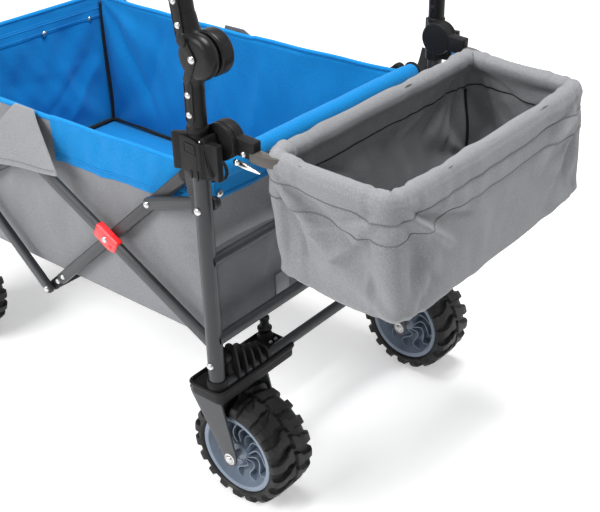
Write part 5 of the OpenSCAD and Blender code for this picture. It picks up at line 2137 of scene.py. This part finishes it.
        low = middle + shrink * (outer[-1] - middle) * flat + drop
        lift = np.array([0.0, 0.0, 1.0]) * (inner[-1, :, 2:] - 0.004 * (1 - shrink ** 2))
        high = middle + shrink * (inner[-1] - middle) * flat + lift
        stack = np.concatenate([high[::-1], inner[::-1], over[1:-1], outer, low], axis=0)
        patches = [surface(self.lean(stack))]
        for share in self.rows:
            row = self.wall_rings(s[0], out[[round(share * 65)]] + 0.0008,
                                  z[[round(share * 65)]], share)[0]
            patches.append(thread_row(self.lean(row), 0.0062, 0.0007, 1, (0.0, 0.0, 1.0)))
        cord = self.wall_rings(s[0], inside - 0.0022, z, v)
        edge = self.wall_rings(s[0], inside[[18]] - 0.0006, z[[18]], v[18, 0])[0]
        patches.append(carry(ring(0.0011, 8), self.lean(edge), finish=2))
        patches.append(carry(ring(0.0026, 12), self.lean(cord[-2]), finish=2))
        for corner in self.corners():
            at = int(round(corner * 360))
            patches.append(carry(ring(0.0024, 12), self.lean(cord[20:-1, at]),
                                 up=(0.0, 1.0, 0.0), finish=2))
        piece = build("canvas_bag", patches, [GREY, THREAD_GREY, PIPING], CLOTH_TURN)
        fit(piece, "basket", "grey_cloth", "basket_bag")

    @staticmethod
    def outline(s: Array, soft: float) -> Array:
        """A rectangle of half sides 1 with rounded corners.

        Args:
            s: shares of the way round at which points are wanted.
            soft: how round the corners are, 0 for sharp ones.

        Returns:
            Array (len(s), 2).
        """
        shape = rounded([(-1.0, -1.0), (1.0, -1.0), (1.0, 1.0), (-1.0, 1.0)], 2.4 * soft, 10)
        step = np.concatenate([[0], np.cumsum(np.linalg.norm(
            np.diff(shape, axis=0) * np.array([1.0, 2.5]), axis=1))])
        return np.stack([np.interp(s * step[-1], step, shape[:, k]) for k in range(2)], axis=1)

    def rotors(self) -> None:
        """The turning discs, each with a chamfered socket for its arm."""
        patches = [drum(self.knuckle, *self.knuckle_y, self.knuckle_r, 0.0022)]
        near, far = self.socket_x
        block = rounded([(near, -0.014), (far, -0.0135), (far, 0.0135), (near, 0.014)], 0.003)
        c, s = math.cos(self.tilt), math.sin(self.tilt)
        turned = np.stack([c * block[:, 0] + s * block[:, 1],
                           -s * block[:, 0] + c * block[:, 1]], axis=1)
        turned = turned + side_view(self.knuckle) + np.array([0.0, -0.001])
        patches.append(plate(turned, *self.socket_y, 0.0026, steps=4))
        at = self.lean(np.array([0.486, -0.2683, 0.634]))
        patches.append(rivet(at, 0.0044, 0.0026, finish=1))
        piece = build("knuckle_sockets", both_sides(patches), [BLACK, RIVET])
        fit(piece, "basket", "black_plastic", "knuckle_rotors")

    def levers(self) -> None:
        """The pointed release levers, one at each knuckle, with a domed pivot."""
        for side in Side:
            name = f"release_lever_{side.word}"
            low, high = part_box(name)
            at = pivot(f"lever_{side.word}")
            sign = float(side.value)
            dip = self.lever_dip
            run = np.array([math.cos(dip), -math.sin(dip)])
            up = np.array([math.sin(dip), math.cos(dip)])
            origin = side_view(at)
            shape = [origin + a * run + b * up for a, b in (
                (-0.004, -0.0042), (0.016, -0.0042), (0.043, -0.0012), (0.043, 0.0012),
                (0.016, 0.0042), (-0.004, 0.0042))]
            outer = float(low[1]) if sign < 0 else float(high[1])
            near, far = sorted((outer, outer - sign * self.lever_t))
            blade = plate(rounded(shape, 0.002), near, far, 0.0008)
            head = rivet(np.array([at[0], outer, at[2]]), 0.005, 0.003, out=sign)
            piece = build(f"lever_blade_{side.word}", [blade, head], [CHROME])
            fit(piece, f"lever_{side.word}", "lever_chrome", name)

    def make(self) -> None:
        """Builds the basket."""
        self.frame()
        self.bag()
        self.rotors()
        self.levers()


# ---------------------------------------------------------------- pull handle


@dataclass
class PullHandle:
    """The telescopic pull handle at the front: clevis, two tubes and a D grip."""

    collar_h: float = 0.034
    pin_l: float = 0.033
    pin_r: float = 0.0105
    grip_r: float = 0.0098

    def make(self) -> None:
        """Builds the tubes, the collar, the clevis pin and the grip."""
        low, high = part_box("pull_outer_tube")
        centre = np.array([(low[0] + high[0]) / 2, 0.0, 0.0])
        r = float(high[0] - low[0]) / 2
        z0, z1 = float(low[2]), float(high[2])
        outer = [(z0 + 0.004, 0.0), (z0 + 0.001, 0.6 * r), (z0 + 0.006, r - 0.0008),
                 (z1 - self.collar_h, r - 0.0008)]
        collar = [(z1 - 0.036, 0.0), (z1 - 0.036, r), (z1 - self.collar_h, r + 0.0014),
                  (z1 - 0.004, r + 0.0014), (z1, r - 0.0004), (z1, 0.0)]
        patches = [lathe(outer + [(z1 - self.collar_h, 0.0)], centre, "Z"),
                   lathe(collar, centre, "Z", 1)]
        shank = centre + np.array([0, 0, pivot("pull_fold")[2]])
        half = self.pin_l / 2
        patches.append(lathe([(-half, 0.0), (-half, self.pin_r), (half, self.pin_r),
                              (half, 0.0)], shank, finish=1))
        piece = build("pull_outer", patches, [HANDLE_BLACK, BLACK])
        fit(piece, "pull_handle", "handle_black", "pull_outer_tube")
        low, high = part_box("pull_inner_tube")
        r = float(high[0] - low[0]) / 2
        inner = [(float(low[2]), 0.0), (float(low[2]), r), (float(high[2]), r),
                 (float(high[2]), 0.0)]
        tube = build("pull_inner", [lathe(inner, centre, "Z")], [ALUMINIUM])
        fit(tube, "pull_stage", "pull_aluminium", "pull_inner_tube")
        self.grip()

    def grip(self) -> None:
        """The D grip: a padded bar on two arms that meet in a socket on the tube."""
        low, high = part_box("pull_grip")
        x, half = (low[0] + high[0]) / 2, float(high[1])
        z0, z1 = float(low[2]), float(high[2])
        loop = [[x, -0.012, z0 + 0.014], [x, -half + 0.022, z0 + 0.034],
                [x, -half + 0.0105, z0 + 0.058], [x, -half + 0.020, z1 - 0.012],
                [x, -half + 0.045, z1 - 0.0105], [x, 0.0, z1 - 0.0105]]
        path = smooth_path(loop + [[p[0], -p[1], p[2]] for p in loop[-2::-1]], 10)
        patches = [carry(ring(self.grip_r, 28), path, up=(1.0, 0.0, 0.0))]
        socket = [(z0, 0.0), (z0, 0.0128), (z0 + 0.004, 0.0138), (z0 + 0.018, 0.0128),
                  (z0 + 0.026, 0.009), (z0 + 0.028, 0.0)]
        patches.append(lathe(socket, np.array([x, 0.0, 0.0]), "Z"))
        piece = build("pull_d_grip", patches, [BLACK], CLOTH_TURN)
        fit(piece, "pull_stage", "black_plastic", "pull_grip")


# ---------------------------------------------------------------- kept CAD nodes


KEPT = ("rear_post_left", "rear_post_right", "front_post_left", "front_post_right",
        "rear_rails", "front_rails", "pull_clevis")
KEPT_TURN = 35.0


def dress_kept() -> None:
    """Gives the CAD nodes that still show their finish and slot."""
    for name in KEPT:
        node = bpy.data.objects[name]
        node.data.materials.clear()
        node.data.materials.append(FRAME_GREY.material())
        node.data.shade_smooth()
        node.data.set_sharp_from_angle(angle=math.radians(KEPT_TURN))


# ---------------------------------------------------------------- the studio


@dataclass
class Studio:
    """A pale floor and backdrop, soft lights and the camera."""

    lens: float = 64.25
    shift: tuple = (-0.056, 0.0148)
    eye: tuple = (0.965, -1.2212, 1.2326)
    right: tuple = (0.788, 0.616, -0.008)
    up: tuple = (-0.308, 0.405, 0.861)
    aim: tuple = (0.0, 0.0, 0.45)
    key: tuple = ((-0.9, -3.2, 2.7), 2.0, 135.0)
    top: tuple = ((0.50, 0.1, 2.9), 1.1, 100.0)
    sky: float = 0.20
    floor_r: float = 8.0
    floor_bend: float = 2.0
    wall: float = 7.0

    def floor(self) -> None:
        """A wide round floor that curves up into a wall, far from the object."""
        a = np.linspace(0, math.pi / 2, 12)
        radius, turn = self.floor_r, self.floor_bend
        curve = np.stack([turn * (1 - np.cos(a)), radius + turn * np.sin(a)], axis=1)
        run = np.concatenate([[[0.0, 0.0]], curve, [[self.wall, radius + turn]]])
        floor = build("studio_floor", [lathe(run, np.zeros(3), "Z", 0, 96)], [PAPER], 180.0)

    def light(self, name: str, place: tuple, size: float, power: float) -> None:
        """A square soft light that faces the middle of the object.

        Args:
            name: the light's name.
            place: where it stands.
            size: length of its sides.
            power: its power in watts.
        """
        lamp = bpy.data.lights.new(name, "AREA")
        lamp.size, lamp.energy = size, power
        thing = bpy.data.objects.new(name, lamp)
        thing.location = place
        aim = Vector(self.aim) - thing.location
        thing.rotation_euler = aim.to_track_quat("-Z", "Y").to_euler()
        bpy.context.scene.collection.objects.link(thing)

    def camera(self) -> None:
        """The camera over the rear left corner, looking down towards the front."""
        data = bpy.data.cameras.new("view")
        data.lens, data.sensor_width = self.lens, 36.0
        data.shift_x, data.shift_y = self.shift
        thing = bpy.data.objects.new("view", data)
        right, up = Vector(self.right), Vector(self.up)
        back = right.cross(up).normalized()
        up = back.cross(right.normalized())
        turn = Matrix((right.normalized(), up, back)).transposed().to_4x4()
        x, y, z = self.eye
        thing.matrix_world = Matrix.Translation((AT.rear_x + x, y, z)) @ turn
        bpy.context.scene.collection.objects.link(thing)
        bpy.context.scene.camera = thing

    def make(self) -> None:
        """Sets the stage."""
        self.floor()
        self.light("key", *self.key)
        self.light("top", *self.top)
        self.camera()
        world = bpy.data.worlds.new("studio")
        world.use_nodes = True
        world.node_tree.nodes["Background"].inputs[0].default_value = (1.0, 1.0, 1.0, 1.0)
        world.node_tree.nodes["Background"].inputs[1].default_value = self.sky
        bpy.context.scene.world = world
        bpy.context.scene.view_settings.view_transform = "Standard"


def main() -> None:
    """Builds every sub-assembly in order, then the studio."""
    logging.basicConfig(level=logging.INFO, format="%(message)s")
    for end in End:
        for side in Side:
            Caster(end, side).make()
        EndFrame(end).make()
    Scissor().make()
    Tub().make()
    HandleMount().make()
    PushHandle().make()
    Basket().make()
    PullHandle().make()
    dress_kept()
    Studio().make()


if __name__ == "__main__":
    main()
